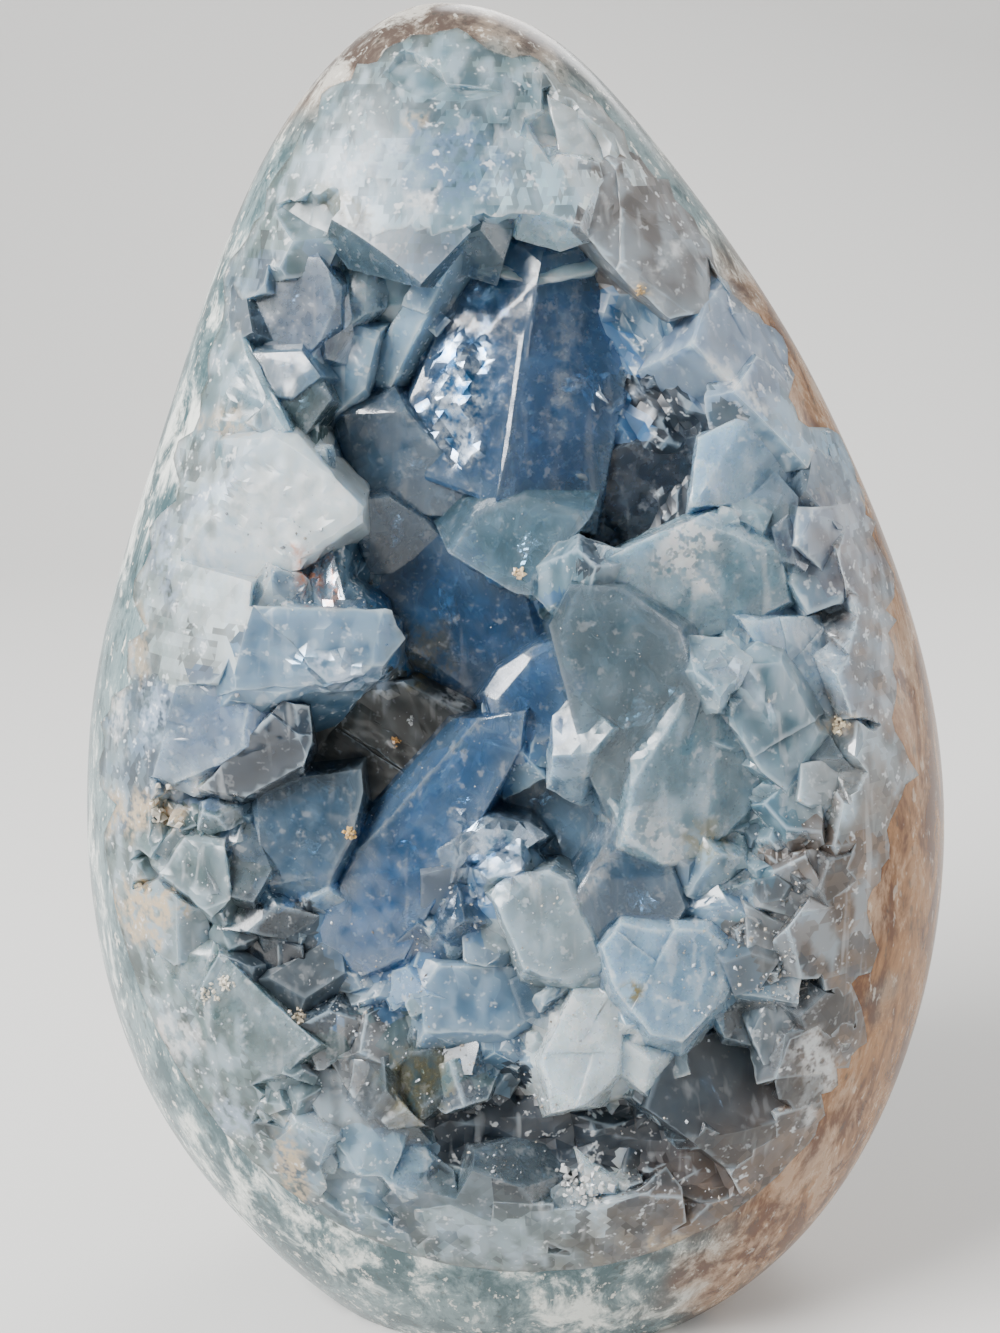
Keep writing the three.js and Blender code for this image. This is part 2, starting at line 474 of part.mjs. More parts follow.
// The corners that a set of flat faces shares: every three faces that meet inside all the others.
function cornersOf(faces) {
  const corners = [];
  const planes = faces.map(([normal, distance]) => new THREE.Plane(normal, -distance));
  for (let i = 0; i < planes.length; i += 1) {
    for (let j = i + 1; j < planes.length; j += 1) {
      for (let k = j + 1; k < planes.length; k += 1) {
        const basis = new THREE.Matrix3().set(
          ...planes[i].normal.toArray(), ...planes[j].normal.toArray(), ...planes[k].normal.toArray());
        if (Math.abs(basis.determinant()) < TINY) continue;
        const corner = new THREE.Vector3(-planes[i].constant, -planes[j].constant, -planes[k].constant)
          .applyMatrix3(basis.invert());
        if (planes.every((plane) => plane.distanceToPoint(corner) < TINY)) corners.push(corner);
      }
    }
  }
  return corners;
}

// Whether a point seen from the front lies inside an outline.
function within([right, up], outline) {
  let inside = false;
  outline.forEach(([x1, y1], index) => {
    const [x2, y2] = outline[(index + 1) % outline.length];
    const crosses = (y1 > up) !== (y2 > up);
    if (crosses && right < x1 + ((up - y1) / (y2 - y1)) * (x2 - x1)) inside = !inside;
  });
  return inside;
}

// Small crystals on a jittered grid, wherever no large face covers the ground.
function makeDruse() {
  const random = randomSource(29);
  const outline = rimPoints.map((point) => [point.x, point.y]);
  const solids = [];
  const { left, right: farRight, top, foot } = DRUSE_FIELD;
  const stray = () => DRUSE_SPACING * DRUSE_JITTER * (random() - 0.5);
  for (let up = top; up > foot; up -= DRUSE_SPACING) {
    for (let right = left; right < farRight; right += DRUSE_SPACING) {
      const spot = [right + stray(), up + stray()];
      const size = THREE.MathUtils.lerp(...DRUSE_SIZE, random());
      const length = THREE.MathUtils.lerp(...DRUSE_LENGTH, random());
      const turn = new THREE.Quaternion().setFromEuler(
        new THREE.Euler(Math.PI * random(), Math.PI * random(), 2 * Math.PI * random()));
      if (!within(spot, outline) || CRYSTALS.some(({ face }) => within(spot, face))) continue;
      const { share } = shareOut(spot);
      const near = surfaceNear(...spot) - groundSink(share) + DRUSE_PROUD - size * DRUSE_SUNK;
      const place = sightPoint(...spot, near);
      const corners = cornersOf(habitFaces(length)).map((corner) =>
        corner.multiplyScalar(size).applyQuaternion(turn).add(place));
      solids.push(solidOf(new ConvexGeometry(corners)));
    }
  }
  return solids;
}

// Only the one body that everything is grown to is kept, without pockets or loose chips.
function mainBody(solid) {
  return solid.decompose().reduce((best, piece) => (piece.volume() > best.volume() ? piece : best));
}

function namedMesh(name, solid, material) {
  const mesh = new THREE.Mesh(geometryOf(solid), material);
  mesh.name = name;
  return mesh;
}

const egg = makeEgg();
const matrixSolid = mainBody(egg.subtract(makeBowl(0)));
const grown = [...CRYSTALS.map(makeCrystal), ...makeDruse()]
  .reduce((sum, solid) => sum.add(solid), makeGround());
const crustSolid = mainBody(grown.intersect(makeBowl(CLEARANCE)).intersect(egg));

const matrixMaterial = new THREE.MeshStandardMaterial({
  color: 0xa9a59c, roughness: 0.22, metalness: 0,
});
const crystalMaterial = new THREE.MeshStandardMaterial({
  color: 0x7f9cb4, roughness: 0.12, metalness: 0,
});

const celestite = new THREE.Group();
celestite.name = 'celestite_cluster';
celestite.add(namedMesh('polished_matrix', matrixSolid, matrixMaterial));
celestite.add(namedMesh('crystal_crust', crustSolid, crystalMaterial));
celestite.position.set(...STAND_MIDDLE, 0);

export default celestite;
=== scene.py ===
# %% [markdown]
# # A celestite geode, ground and polished to an egg
#
# The stone is one natural thing in two parts: a smooth egg of massive celestite, cut flat at the
# foot, and a crust of blue crystals that lines a hollow in its front. The lesson builds the egg
# from a formula, grows the crystals from their flat faces, and finishes both with materials that
# are worked out by nodes alone.
#
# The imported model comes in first, as the fixed frame that every later piece is set against.

# %% Load the frame
import itertools
import math

import bmesh
import bpy
import numpy as np
from mathutils import Matrix, Vector
from mathutils.bvhtree import BVHTree
from mathutils.geometry import convex_hull_2d
from mathutils.kdtree import KDTree


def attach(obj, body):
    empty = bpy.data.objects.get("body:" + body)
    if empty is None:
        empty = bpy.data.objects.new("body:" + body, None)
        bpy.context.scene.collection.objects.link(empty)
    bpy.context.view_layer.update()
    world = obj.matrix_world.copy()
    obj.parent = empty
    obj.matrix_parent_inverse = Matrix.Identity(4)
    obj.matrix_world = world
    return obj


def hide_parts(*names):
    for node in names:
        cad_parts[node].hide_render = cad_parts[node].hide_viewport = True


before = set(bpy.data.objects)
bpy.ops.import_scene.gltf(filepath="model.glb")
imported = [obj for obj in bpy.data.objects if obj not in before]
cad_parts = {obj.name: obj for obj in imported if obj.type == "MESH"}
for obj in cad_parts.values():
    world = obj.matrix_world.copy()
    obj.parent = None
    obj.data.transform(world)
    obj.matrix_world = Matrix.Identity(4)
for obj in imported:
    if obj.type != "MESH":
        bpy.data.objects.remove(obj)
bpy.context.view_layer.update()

# %% [markdown]
# ## The line of sight
#
# The crystals could be placed by x, y and z, but they were read off a view from slightly above the
# front. So each one is laid out by how far right and up it stands in that view and how near the eye
# it is, and one formula turns these three numbers into a place. The camera uses the same numbers.

# %% The view's own coordinates
MM = 0.001
SIGHT_RISE = math.radians(15)       # the eye looks down by this much
SIGHT_HEIGHT = 67.0                 # height of the point that the view is centred on, in mm
EYE_DISTANCE = 200.0
STAND_MIDDLE = np.array([-1.6, -1.5, 0.0])
RIGHT = np.array([1.0, 0.0, 0.0])
UP = np.array([0.0, math.sin(SIGHT_RISE), math.cos(SIGHT_RISE)])
NEAR = np.array([0.0, -math.cos(SIGHT_RISE), math.sin(SIGHT_RISE)])
AIM = STAND_MIDDLE + [0.0, 0.0, SIGHT_HEIGHT]


def sight_point(right, up, near):
    """Aim + s (right, up) + near towards the eye, where s = 1 - near / eye distance is the
    perspective: what is nearer looks larger, so its real offset is smaller."""
    right, up, near = np.broadcast_arrays(*(np.asarray(value, float) for value in (right, up, near)))
    shrink = (1 - near / EYE_DISTANCE)[..., None]
    return AIM + right[..., None] * shrink * RIGHT + up[..., None] * shrink * UP + near[..., None] * NEAR


def sight_place(points):
    """The same formula backwards: right, up and near of points in the frame, in mm."""
    off = np.asarray(points, float) - AIM
    near = off @ NEAR
    shrink = 1 - near / EYE_DISTANCE
    return off @ RIGHT / shrink, off @ UP / shrink, near


# %% [markdown]
# ## Helpers for meshes
#
# Three helpers serve every piece. One closes a grid of points into a skin with a pole at each end,
# one turns points and faces into an object, and one joins, cuts or overlaps two closed solids. The
# boolean is Blender's manifold solver, which is exact on closed shapes and joins hundreds of
# crystals in a moment.


# %% Grids, pieces and booleans
def closed_grid(first, rings, last):
    """Points and faces of a closed skin: a pole, rows of rings from there on, and a last pole."""
    rows, columns = rings.shape[:2]
    points = np.concatenate([[first], rings.reshape(-1, 3), [last]])
    here = np.arange(rows * columns).reshape(rows, columns) + 1
    beside = np.roll(here, -1, axis=1)
    quads = np.stack([here[:-1], here[1:], beside[1:], beside[:-1]], -1).reshape(-1, 4)
    opening = np.stack([np.zeros(columns, int), here[0], beside[0]], -1)
    closing = np.stack([np.full(columns, rows * columns + 1), beside[-1], here[-1]], -1)
    return points, [*opening.tolist(), *quads.tolist(), *closing.tolist()]


def solid_piece(name, points, faces):
    """An object whose faces point outwards, from points in mm and lists of corners."""
    mesh = bpy.data.meshes.new(name)
    mesh.from_pydata((np.asarray(points) * MM).tolist(), [], faces)
    work = bmesh.new()
    work.from_mesh(mesh)
    bmesh.ops.recalc_face_normals(work, faces=work.faces)
    work.to_mesh(mesh)
    work.free()
    return bpy.data.objects.new(name, mesh)


def face_values(mesh, name, values):
    """Stores one whole number for each face under a name that booleans carry along."""
    layer = mesh.attributes.get(name) or mesh.attributes.new(name, "INT", "FACE")
    layer.data.foreach_set("value", np.broadcast_to(values, len(mesh.polygons)).astype(np.int32))


def combine(piece, how, others):
    """UNION, DIFFERENCE or INTERSECT of a piece with other solids, which are used up."""
    scene = bpy.context.scene
    group = bpy.data.collections.new("others")
    scene.collection.children.link(group)
    for other in others:
        group.objects.link(other)
    if piece.name not in scene.collection.objects:
        scene.collection.objects.link(piece)
    step = piece.modifiers.new("combine", "BOOLEAN")
    step.operation = how
    step.solver = "MANIFOLD"
    step.operand_type = "COLLECTION"
    step.collection = group
    graph = bpy.context.evaluated_depsgraph_get()
    result = bpy.data.meshes.new_from_object(piece.evaluated_get(graph), depsgraph=graph)
    piece.modifiers.clear()
    piece.data = result
    for other in others:
        bpy.data.objects.remove(other)
    bpy.data.collections.remove(group)
    return piece


def ripple(points, seed, size, waves=14):
    """A smooth rough signal from about -1 to 1: a sum of sines that run in random directions,
    each about one size (mm) from crest to crest."""
    source = np.random.default_rng(seed)
    heading = source.normal(size=(waves, points.shape[-1]))
    length = np.linalg.norm(heading, axis=1)
    heading *= (2 * math.pi / size / length * source.uniform(0.6, 1.6, waves))[:, None]
    start = source.uniform(0, 2 * math.pi, waves)
    return np.sin(points @ heading.T + start).sum(-1) / math.sqrt(waves)


# %% [markdown]
# ## The egg
#
# A lapidary grinds the rough stone by hand, so the egg isn't a true ellipsoid: its left and right
# sides differ, and the crown leans. A sculpted sphere would do, but a formula keeps the size right.
# Two curves give the half width on either side from crown to foot, and each level is a rounded,
# slightly square oval.

# %% Egg formula
HEIGHT = 130.0                      # of the standing stone, in mm
FOOT_CUT = 8.7                      # how much the foot takes off the egg's lower end
LEFT_REACH = [24, 28.5, 32, 39.5, 43, 40, 39.5]      # stations from crown to foot
RIGHT_REACH = [37.5, 33, 38.5, 45, 48.5, 52, 53.5]
CROWN_LEAN = -5.5                   # how far the crown stands to the right
FRONT_DEPTH = 0.70                  # depth as a share of the half width
BACK_DEPTH = 0.74
SQUARENESS = 2.1                    # 2 is an oval, and more has fuller corners
EGG_MIDDLE = (HEIGHT - FOOT_CUT) / 2
EGG_HALF = (HEIGHT + FOOT_CUT) / 2
BEYOND_SKIN = 60.0                  # nearer the eye than any part of the stone


def cubic_between(before, start, end, after, t):
    """A cubic from start to end whose slope at each is half the step between its neighbours."""
    leave = (end - before) / 2
    arrive = (after - start) / 2
    return (start + leave * t + (3 * (end - start) - 2 * leave - arrive) * t**2
            + (2 * (start - end) + leave + arrive) * t**3)


def through_stations(widths, share):
    """Half width at a share of the way from crown to foot, smoothly through its stations."""
    widths = np.asarray(widths, float)
    line = np.concatenate([[2 * widths[0] - widths[1]], widths, [2 * widths[-1] - widths[-2]]])
    place = np.clip(share, 0, 1) * (len(widths) - 1)
    station = np.minimum(place.astype(int), len(widths) - 2)
    return cubic_between(*(line[station + k] for k in range(4)), place - station)


def egg_section(down):
    """Middle, half width and height of the level at an angle down from the crown: the sides are
    sin(down) times each side's reach, and the height is a cosine."""
    share = down / math.pi
    left = -np.sin(down) * through_stations(LEFT_REACH, share)
    right = np.sin(down) * through_stations(RIGHT_REACH, share)
    middle = (left + right) / 2 + CROWN_LEAN * ((1 + np.cos(down)) / 2) ** 2
    return middle, (right - left) / 2, EGG_MIDDLE + EGG_HALF * np.cos(down)


def rounded(value):
    """A sine or cosine raised to the power 2 / squareness, with its sign kept."""
    return np.sign(value) * np.abs(value) ** (2 / SQUARENESS)


def egg_points(down, around):
    """x = middle + half width * rounded(cos), y = half width * depth * rounded(sin), z = height."""
    middle, half, height = egg_section(down)
    depth = np.where(np.sin(around) < 0, FRONT_DEPTH, BACK_DEPTH)
    points = np.stack([middle + half * rounded(np.cos(around)),
                       half * depth * rounded(np.sin(around)), height], -1)
    return points + STAND_MIDDLE


def surface_near(right, up):
    """How near the eye the polished skin is along each line of sight, found by halving: the egg
    side is |x|^n + |y|^n - 1 in units of the level's own oval, below zero inside."""
    inside = np.zeros(np.broadcast(right, up).shape)
    outside = np.full_like(inside, BEYOND_SKIN)
    for _ in range(26):
        near = (inside + outside) / 2
        spot = sight_point(right, up, near) - STAND_MIDDLE
        level = np.clip((spot[..., 2] - EGG_MIDDLE) / EGG_HALF, -0.99999, 0.99999)
        middle, half, _ = egg_section(np.arccos(level))
        side = (np.abs((spot[..., 0] - middle) / half) ** SQUARENESS
                + np.abs(spot[..., 1] / (half * FRONT_DEPTH)) ** SQUARENESS - 1)
        beyond = (side > 0) | (np.abs(spot[..., 2] - EGG_MIDDLE) >= EGG_HALF)
        inside = np.where(beyond, inside, near)
        outside = np.where(beyond, near, outside)
    return inside


# %% Egg mesh, cut flat at the foot
def egg_solid(name, rows, columns):
    """The formula on a grid of rows from crown to foot, kept where it is above the floor."""
    down = np.linspace(0, math.pi, rows + 1)[1:-1, None]
    around = np.linspace(0, 2 * math.pi, columns, endpoint=False)[None, :]
    rings = egg_points(*np.broadcast_arrays(down, around))
    crown, foot = egg_points(np.array([0.0, math.pi]), np.zeros(2))
    egg = solid_piece(name, *closed_grid(crown, rings, foot))
    room = 200.0
    corners = [(x, y, z) for x in (-room, room) for y in (-room, room) for z in (0, room)]
    sides = [(0, 1, 3, 2), (4, 6, 7, 5), (0, 4, 5, 1), (2, 3, 7, 6), (0, 2, 6, 4), (1, 5, 7, 3)]
    return combine(egg, "INTERSECT", [solid_piece("above_floor", corners, sides)])


matrix = egg_solid("polished_stone", 190, 250)
print("egg faces:", len(matrix.data.polygons), "size mm:", np.round(np.array(matrix.dimensions) / MM, 1))

# %% [markdown]
# ## The hollow
#
# The hollow is a rounded bowl under an uneven rim. On the real stone the rim is where the grinding
# wheel stopped at open crystals, so it wanders. The bowl is a surface of two numbers: how far round
# the rim, and how far down from the rim to the floor. The crust is trimmed by the same bowl made a
# little deeper, so that it grows into the stone with no gap between them.

# %% Rim and bowl
# stations of the rim as seen, right and up in mm, from the crown round by the right
RIM = np.array([
    (-6, 62.6), (4, 60), (12, 53.5), (21.5, 41), (29, 30), (36, 18), (39.5, 6), (40, -8), (38, -22),
    (35.5, -36), (31, -48), (22, -58), (8, -64.2), (-6, -64.6), (-16.5, -60), (-26, -50.5),
    (-35, -37), (-39.5, -24), (-39.6, -10), (-36.5, 5), (-31, 24), (-25, 43.5), (-16, 57.5)])
RIM_HALF_WIDTH = 38.0               # turns a distance at the wall into a share of the rim
BOWL_FLOOR = -4.0                   # how near the eye the deepest place is
GROWN_IN = 0.35                     # how far the crust's back reaches into the stone
RIM_WANDER = 0.9                    # how far the rim strays from its stations, in mm
RIM_LEAST = 9.0                     # the rim stays where the skin is this near the eye, or the bowl
                                    # would come out of the side of the egg
MOUTH = 55.0                        # the tool that cuts the hollow starts this near the eye


def rim_points(share):
    """Places on the closed curve through the rim's stations, which wanders by short ripples."""
    place = (1 - share) % 1 * len(RIM)
    station = np.floor(place).astype(int)
    corners = (RIM[(station + k) % len(RIM)] for k in (-1, 0, 1, 2))
    spots = cubic_between(*corners, (place - station)[:, None])
    reach = np.linalg.norm(spots, axis=1, keepdims=True)
    wander = RIM_WANDER * (ripple(spots, 5, 9) + 0.5 * ripple(spots, 6, 3))[:, None]
    return spots * (1 + wander / reach)


RIM_SHARE = np.linspace(0, 1, 260, endpoint=False)
rim = rim_points(RIM_SHARE)
inward = np.linspace(1, 0.8, 81)[:, None]   # shares to draw each point in by, least first
fits = surface_near(rim[:, 0] * inward, rim[:, 1] * inward) > RIM_LEAST
rim *= inward[fits.argmax(axis=0)]
rim_near = surface_near(rim[:, 0], rim[:, 1])


def bowl_solid(name, deeper):
    """Rings that shrink by cos(slope) while they sink by sin(slope) from the rim to the floor, and
    a mouth carried straight forward past the skin. deeper moves the wall back, except at the rim."""
    slope = np.linspace(0, math.pi / 2, 13)[:-1, None]
    scale = (np.cos(slope) + deeper / RIM_HALF_WIDTH * np.sin(slope))[..., None]
    spots = rim[None] * scale
    floor = BOWL_FLOOR - deeper
    near = rim_near + (floor - rim_near) * np.sin(slope)
    wall = sight_point(spots[..., 0], spots[..., 1], near)
    mouth = sight_point(rim[:, 0], rim[:, 1], MOUTH)[None]
    grid = closed_grid(sight_point(0, 0, MOUTH), np.concatenate([mouth, wall]),
                       sight_point(0, 0, floor))
    return solid_piece(name, *grid)


combine(matrix, "DIFFERENCE", [bowl_solid("hollow", 0.0)])
print("stone faces:", len(matrix.data.polygons))

# %% [markdown]
# ## The large crystals
#
# Each large crystal was laid out one by one: its name, the look of its colour, how milky and how
# frosted it is, how deep its front face lies under the polished surface, how that face slopes to the
# right and upwards, where its root leans to, and the outline of the face.

# %% Table of the large crystals
# name, look, milk, frost, depth, (slope right, slope up), (root lean), outline
CRYSTALS = [
    ("pale tablet at the crown", "aqua", 0.55, 0.38, -1.5, (0.05, -0.5), (0, 3),
     [(-18.6, 54), (-15, 61), (-6, 62.6), (1.8, 57.5), (0, 49.2), (-4.2, 43), (-13.8, 43.2),
      (-17.4, 47)]),
    # the pale look of this prism is painted light: the face lies in the shadow of the crown tablet
    ("six-sided prism beside the tablet", "light", 0.4, 0.15, -0.6, (-0.3, -0.45), (0, 2),
     [(-1, 49.6), (0.7, 53.1), (2.6, 55.4), (5.5, 50.6), (5.2, 48.2), (3.6, 44.9), (-1.5, 44.8)]),
    ("grey-green prism at the crown", "milk", 0.34, 0.14, 1, (-0.6, -0.3), (0, 1),
     [(5, 57), (7.2, 58.6), (9.1, 56), (11.2, 52), (11.3, 49.4), (9.1, 47.2), (7, 47.4)]),
    ("smoky massive face", "smoke", 0.35, 0.4, 0.6, (-0.5, -0.25), (-1, 0),
     [(7, 46), (12, 50.6), (15, 52.6), (21.5, 42.5), (23.5, 36.6), (17, 35.6), (13, 39)]),
    ("lavender crystal, upper left", "lavender", 0.3, 0.26, 2.6, (0.3, 0.12), (0, 0),
     [(-25, 37.8), (-20.8, 41.5), (-18.8, 41.4), (-16.3, 37.8), (-16.4, 34.7), (-19.9, 31),
      (-24.4, 33)]),
    ("small clear crystal", "blue", 0.2, 0.12, 2, (0.3, 0), (0, 0),
     [(-24.7, 31.2), (-20, 31.4), (-18.3, 29), (-20.8, 27), (-24.2, 27.4)]),
    ("grey block at the left edge", "aqua", 0.5, 0.25, 0.4, (0.5, 0), (1, 0),
     [(-29.5, 31), (-26, 33), (-24.8, 28), (-21.6, 24), (-25, 22), (-31, 22.5)]),
    ("olive crystal under it", "olive", 0.25, 0.2, 3.2, (0.25, 0.2), (0, 0),
     [(-18.3, 29), (-17.1, 26.6), (-19.9, 22.9), (-23.6, 23.7), (-24.2, 27), (-21.3, 27.6)]),
    ("translucent shoulder", "olive", 0.5, 0.3, 1.6, (0.35, 0.0), (0, 0),
     [(-26, 46), (-20, 48), (-16, 45.5), (-15, 43.4), (-19.5, 44.4), (-25, 42.4)]),
    ("glassy facet behind the blade", "aqua", 0.35, 0.15, 9, (0.1, 0.2), (0, 0),
     [(-15, 42.4), (-6.5, 42.4), (-8, 38.4), (-12.4, 32), (-14.6, 36.6)]),
    ("dark sliver behind the blade", "blue", 0.35, 0.15, 7.5, (0.2, 0.1), (0, 0),
     [(-14.6, 33.4), (-12.4, 33), (-13.6, 28), (-17, 25.4), (-17.4, 29.6)]),
    ("long blade", "blue", 0.35, 0.18, 8, (0.55, 0.1), (2.8, -1),
     [(-5.9, 42.7), (-3.4, 43), (-11.6, 27.2), (-16.3, 24.8), (-7.9, 39.4)]),
    ("great blue crystal, left face", "deep", 0.1, 0.14, 9.6, (0.28, 0.05), (0, 3.5),
     [(-3, 42), (3.5, 39.8), (0.3, 17), (-7, 19.6), (-9.8, 27), (-4.3, 38.9)]),
    ("great blue crystal, right face", "deep", 0.1, 0.2, 9.6, (-0.4, 0.06), (0, 3.5),
     [(3.5, 39.8), (10.9, 41.4), (13.4, 33.4), (11.5, 25), (9.3, 14.8), (0.3, 17)]),
    # the pale look of this top is painted light: the face lies in the shadow of the crown tablet
    ("great blue crystal, frosted top", "light", 0.34, 0.45, 8.9, (-0.1, -1.0), (0, 0),
     [(-3.2, 41.6), (-1.5, 43.6), (4, 44), (10.9, 41.6), (8.6, 39.4), (3.5, 38.4), (-0.4, 39.4)]),
    ("great blue crystal, foot", "steel", 0.2, 0.12, 11, (0.15, 0.25), (1, 2),
     [(-15.8, 24.6), (-10.5, 26.4), (-7.3, 22.5), (-1.4, 15.5), (-7.9, 15.2), (-14.4, 18.5)]),
    ("dark facet, top of the recess", "steel", 0.35, 0.3, 11.6, (0.0, -0.2), (0, 0),
     [(12, 37), (18, 38.4), (22.5, 35), (22.5, 32.4), (11, 27.2)]),
    ("dark facet, middle of the recess", "ink", 0.33, 0.3, 12.2, (0.1, 0.35), (0, 0),
     [(10, 24.6), (22.5, 32.6), (23, 25.6), (10.5, 22)]),
    ("dark facet, foot of the recess", "ink", 0.33, 0.22, 12.4, (0.05, 0.15), (0, 0),
     [(8.6, 13.7), (10.5, 22), (23, 25.4), (22, 18.6), (17.5, 12), (11, 10.6)]),
    ("ridged crystal, upper right", "lavender", 0.45, 0.35, 0.6, (-0.7, -0.2), (-3.4, -2),
     [(21.3, 37.4), (23.6, 39.2), (27.9, 33.3), (33, 25.6), (27.2, 25), (19.7, 32.2), (20.3, 34.1)]),
    ("pale blue crystal, right", "blue", 0.4, 0.25, 2.6, (-0.5, 0.25), (0, 0),
     [(20.5, 22.7), (23.6, 24.3), (30.5, 24.8), (32.4, 23), (34.6, 18.4), (30.5, 16.8),
      (19.6, 16.4)]),
    ("purple-grey block, right edge", "lavender", 0.45, 0.35, 0.8, (-0.9, 0.1), (-1, 0),
     [(30.4, 15.5), (35, 15.8), (36.4, 11.2), (33, 9.2), (29.8, 12.2)]),
    ("crystal with the white patch", "aqua", 0.4, 0.25, 4, (-0.35, 0.2), (0, 0),
     [(10.8, 10.2), (15.7, 12.7), (20.7, 14.6), (28.6, 11.6), (32.6, 8.2), (25.4, 4.6), (17.2, 3),
      (13.4, 5.8)]),
    ("pale green crystal, main face", "green", 0.3, 0.14, 3, (-0.12, 0.25), (0, 0),
     [(5.6, 3.4), (7.5, 7), (12.2, 6.8), (17.4, 3.3), (19.5, -3), (16, -15), (13, -16.8), (8.8, -9.1)]),
    ("pale green crystal, lower face", "green", 0.5, 0.25, 4.4, (-0.3, 0.3), (0, 0),
     [(19, -2), (22, -4), (25.5, -11), (24, -16), (21.6, -18), (16.3, -19.1), (13, -17), (14, -9)]),
    ("rounded crystal", "green", 0.5, 0.3, 2.4, (-0.45, 0.1), (0, 0),
     [(22.8, -0.2), (26, 1.5), (28.3, 0.8), (31, -2.1), (33.2, -5.6), (32.6, -7.8), (28.9, -12),
      (26.3, -9.9), (23.6, -5.6)]),
    ("blue-grey crystal behind it", "blue", 0.35, 0.2, 4, (-0.6, 0), (0, 0),
     [(24.5, 4.4), (33, 4.6), (36, -2.4), (33.5, -5.4), (27, 0.8)]),
    ("pale knob, right", "pale", 0.6, 0.3, 2, (-0.7, -0.1), (0, 0),
     [(30.4, -10), (35, -9.2), (36.2, -13), (33, -14.8), (30, -13.2)]),
    ("deep blue slab", "deep", 0.08, 0.12, 13.5, (0.0, 0.15), (0, 0),
     [(-12, 9.4), (-8, 13.4), (-3, 9.4), (4, 6.7), (5.5, 3.3), (-1.3, -1.4), (-3.1, -3.4),
      (-7.8, -1.4)]),
    ("striated facet over the slab", "steel", 0.15, 0.2, 12, (-0.2, 0.35), (0, 0),
     [(-15, 16.4), (-11, 16.6), (-7.2, 14.2), (-4.3, 11), (-8.4, 9.6), (-12.6, 9.6)]),
    ("translucent tip", "aqua", 0.25, 0.06, 7, (0, -0.3), (0, 4),
     [(-4.6, 11.4), (-1.9, 15.4), (2.2, 16.6), (8.5, 14.6), (5.7, 12.6), (5, 10.3), (3.1, 7.3),
      (1.6, 7.6)]),
    ("milky crystal, left", "milk", 0.75, 0.35, 1.4, (0.25, 0.1), (0, 0),
     [(-31.1, 19.6), (-26.8, 21.8), (-22.8, 22.7), (-20.4, 22.2), (-14.6, 15.8), (-14.6, 14.6),
      (-19.9, 11.8), (-29, 5), (-34, 7)]),
    ("milky foot, left edge", "milk", 0.6, 0.35, -1, (0.5, 0.05), (0, 0),
     [(-35.6, 10.6), (-25.5, 8), (-26, 4.4), (-28.5, -1), (-36, -1.4), (-37.6, 4.6)]),
    ("copper striped facet", "blue", 0.25, 0.15, 5, (0.3, -0.4), (-1, 0),
     [(-21.2, 11.4), (-17, 12.1), (-15.5, 6.4), (-18, 5.9)]),
    ("crystal pointing right", "steel", 0.35, 0.28, 2.4, (0.08, 0.1), (-4, -4.2),
     [(-26.8, 5.7), (-11.4, 5.3), (-9.8, 3.2), (-12, 0.4), (-21.4, -2.4), (-26, -2)]),
    ("lavender crystal, left", "lavender", 0.35, 0.22, 1.4, (0.3, 0.15), (0, 0),
     [(-37, -2), (-35.2, -1.6), (-22.8, -1.8), (-22.2, -2.8), (-24.9, -7.2), (-29, -9.6),
      (-32.2, -10.9), (-36.8, -9.6)]),
    ("dark crystal under it", "ink", 0.34, 0.15, 4, (0.2, 0.4), (0, -1),
     [(-21.8, -4), (-19.4, -4.6), (-19, -7.6), (-19.8, -9.8), (-25.2, -12.7), (-29.6, -12),
      (-25, -7.3)]),
    ("small crystal, left edge", "olive", 0.5, 0.3, 2.4, (0.5, 0), (0, 0),
     [(-34.8, -18), (-31.4, -17), (-27.8, -17.6), (-27.2, -23), (-29.3, -24.8), (-33.9, -21)]),
    # painted shade: this wall is given a near-black look because it lies deep in shade in the recess
    ("wall of the left recess", "peat", 0.34, 0.35, 13, (0.1, 0.1), (0, 0),
     [(-21, -3), (-9, -2), (-3, -5), (-8, -13), (-12, -18), (-16, -12), (-20, -9)]),
    ("smooth crystal, centre left", "steel", 0.2, 0.14, 7.5, (0.15, 0.1), (0, 0),
     [(-24.6, -13), (-20.1, -11.6), (-14.4, -11), (-14.2, -12.7), (-15, -16.7), (-17.7, -21.8),
      (-22, -22.1), (-24.2, -19.6)]),
    ("green crystal, lower left", "olive", 0.4, 0.22, 0.4, (0.4, 0.1), (0, 0),
     [(-37, -30.8), (-32.7, -27.4), (-29.6, -27.4), (-24.4, -34.6), (-19.4, -37.4), (-22, -39.8),
      (-28.1, -41.6), (-34, -42)]),
    ("dark glass crystal", "ink", 0.1, 0.08, 6, (0.2, 0.1), (0, 0),
     [(-28.5, -25.9), (-20, -28.2), (-18.6, -35.6), (-24, -33.6)]),
    ("long diagonal prism", "deep", 0.18, 0.12, 9, (0.2, 0.1), (0, 0),
     [(-4.6, -6.6), (1.6, -5.6), (1.2, -8.9), (-4.6, -16.9), (-9.4, -28), (-16.6, -31), (-17.6, -26.9),
      (-12.5, -15.4)]),
    ("striated head of the prism", "deep", 0.2, 0.2, 8.6, (0.1, 0.05), (0, 0),
     [(-1, -2.4), (0.2, -0.6), (3, 1.3), (5.3, 2), (6.2, -1.4), (7.6, -6.2), (4, -7.5), (0, -6)]),
    ("deep facet, centre", "blue", 0.08, 0.12, 12.5, (0.2, 0.1), (0, 0),
     [(2, -9.2), (6, -12.4), (10.6, -15.9), (9, -19.7), (4, -19.2), (0, -13.4)]),
    ("cleaved crystal, centre", "steel", 0.2, 0.12, 8, (-0.2, 0.3), (0, 0),
     [(-5, -18.4), (-1.2, -15.4), (2.6, -15.9), (3.8, -17), (-1.2, -21.5), (-4.5, -21)]),
    ("pale crystal, centre", "pale", 0.45, 0.18, 5, (-0.1, 0.1), (0, 0),
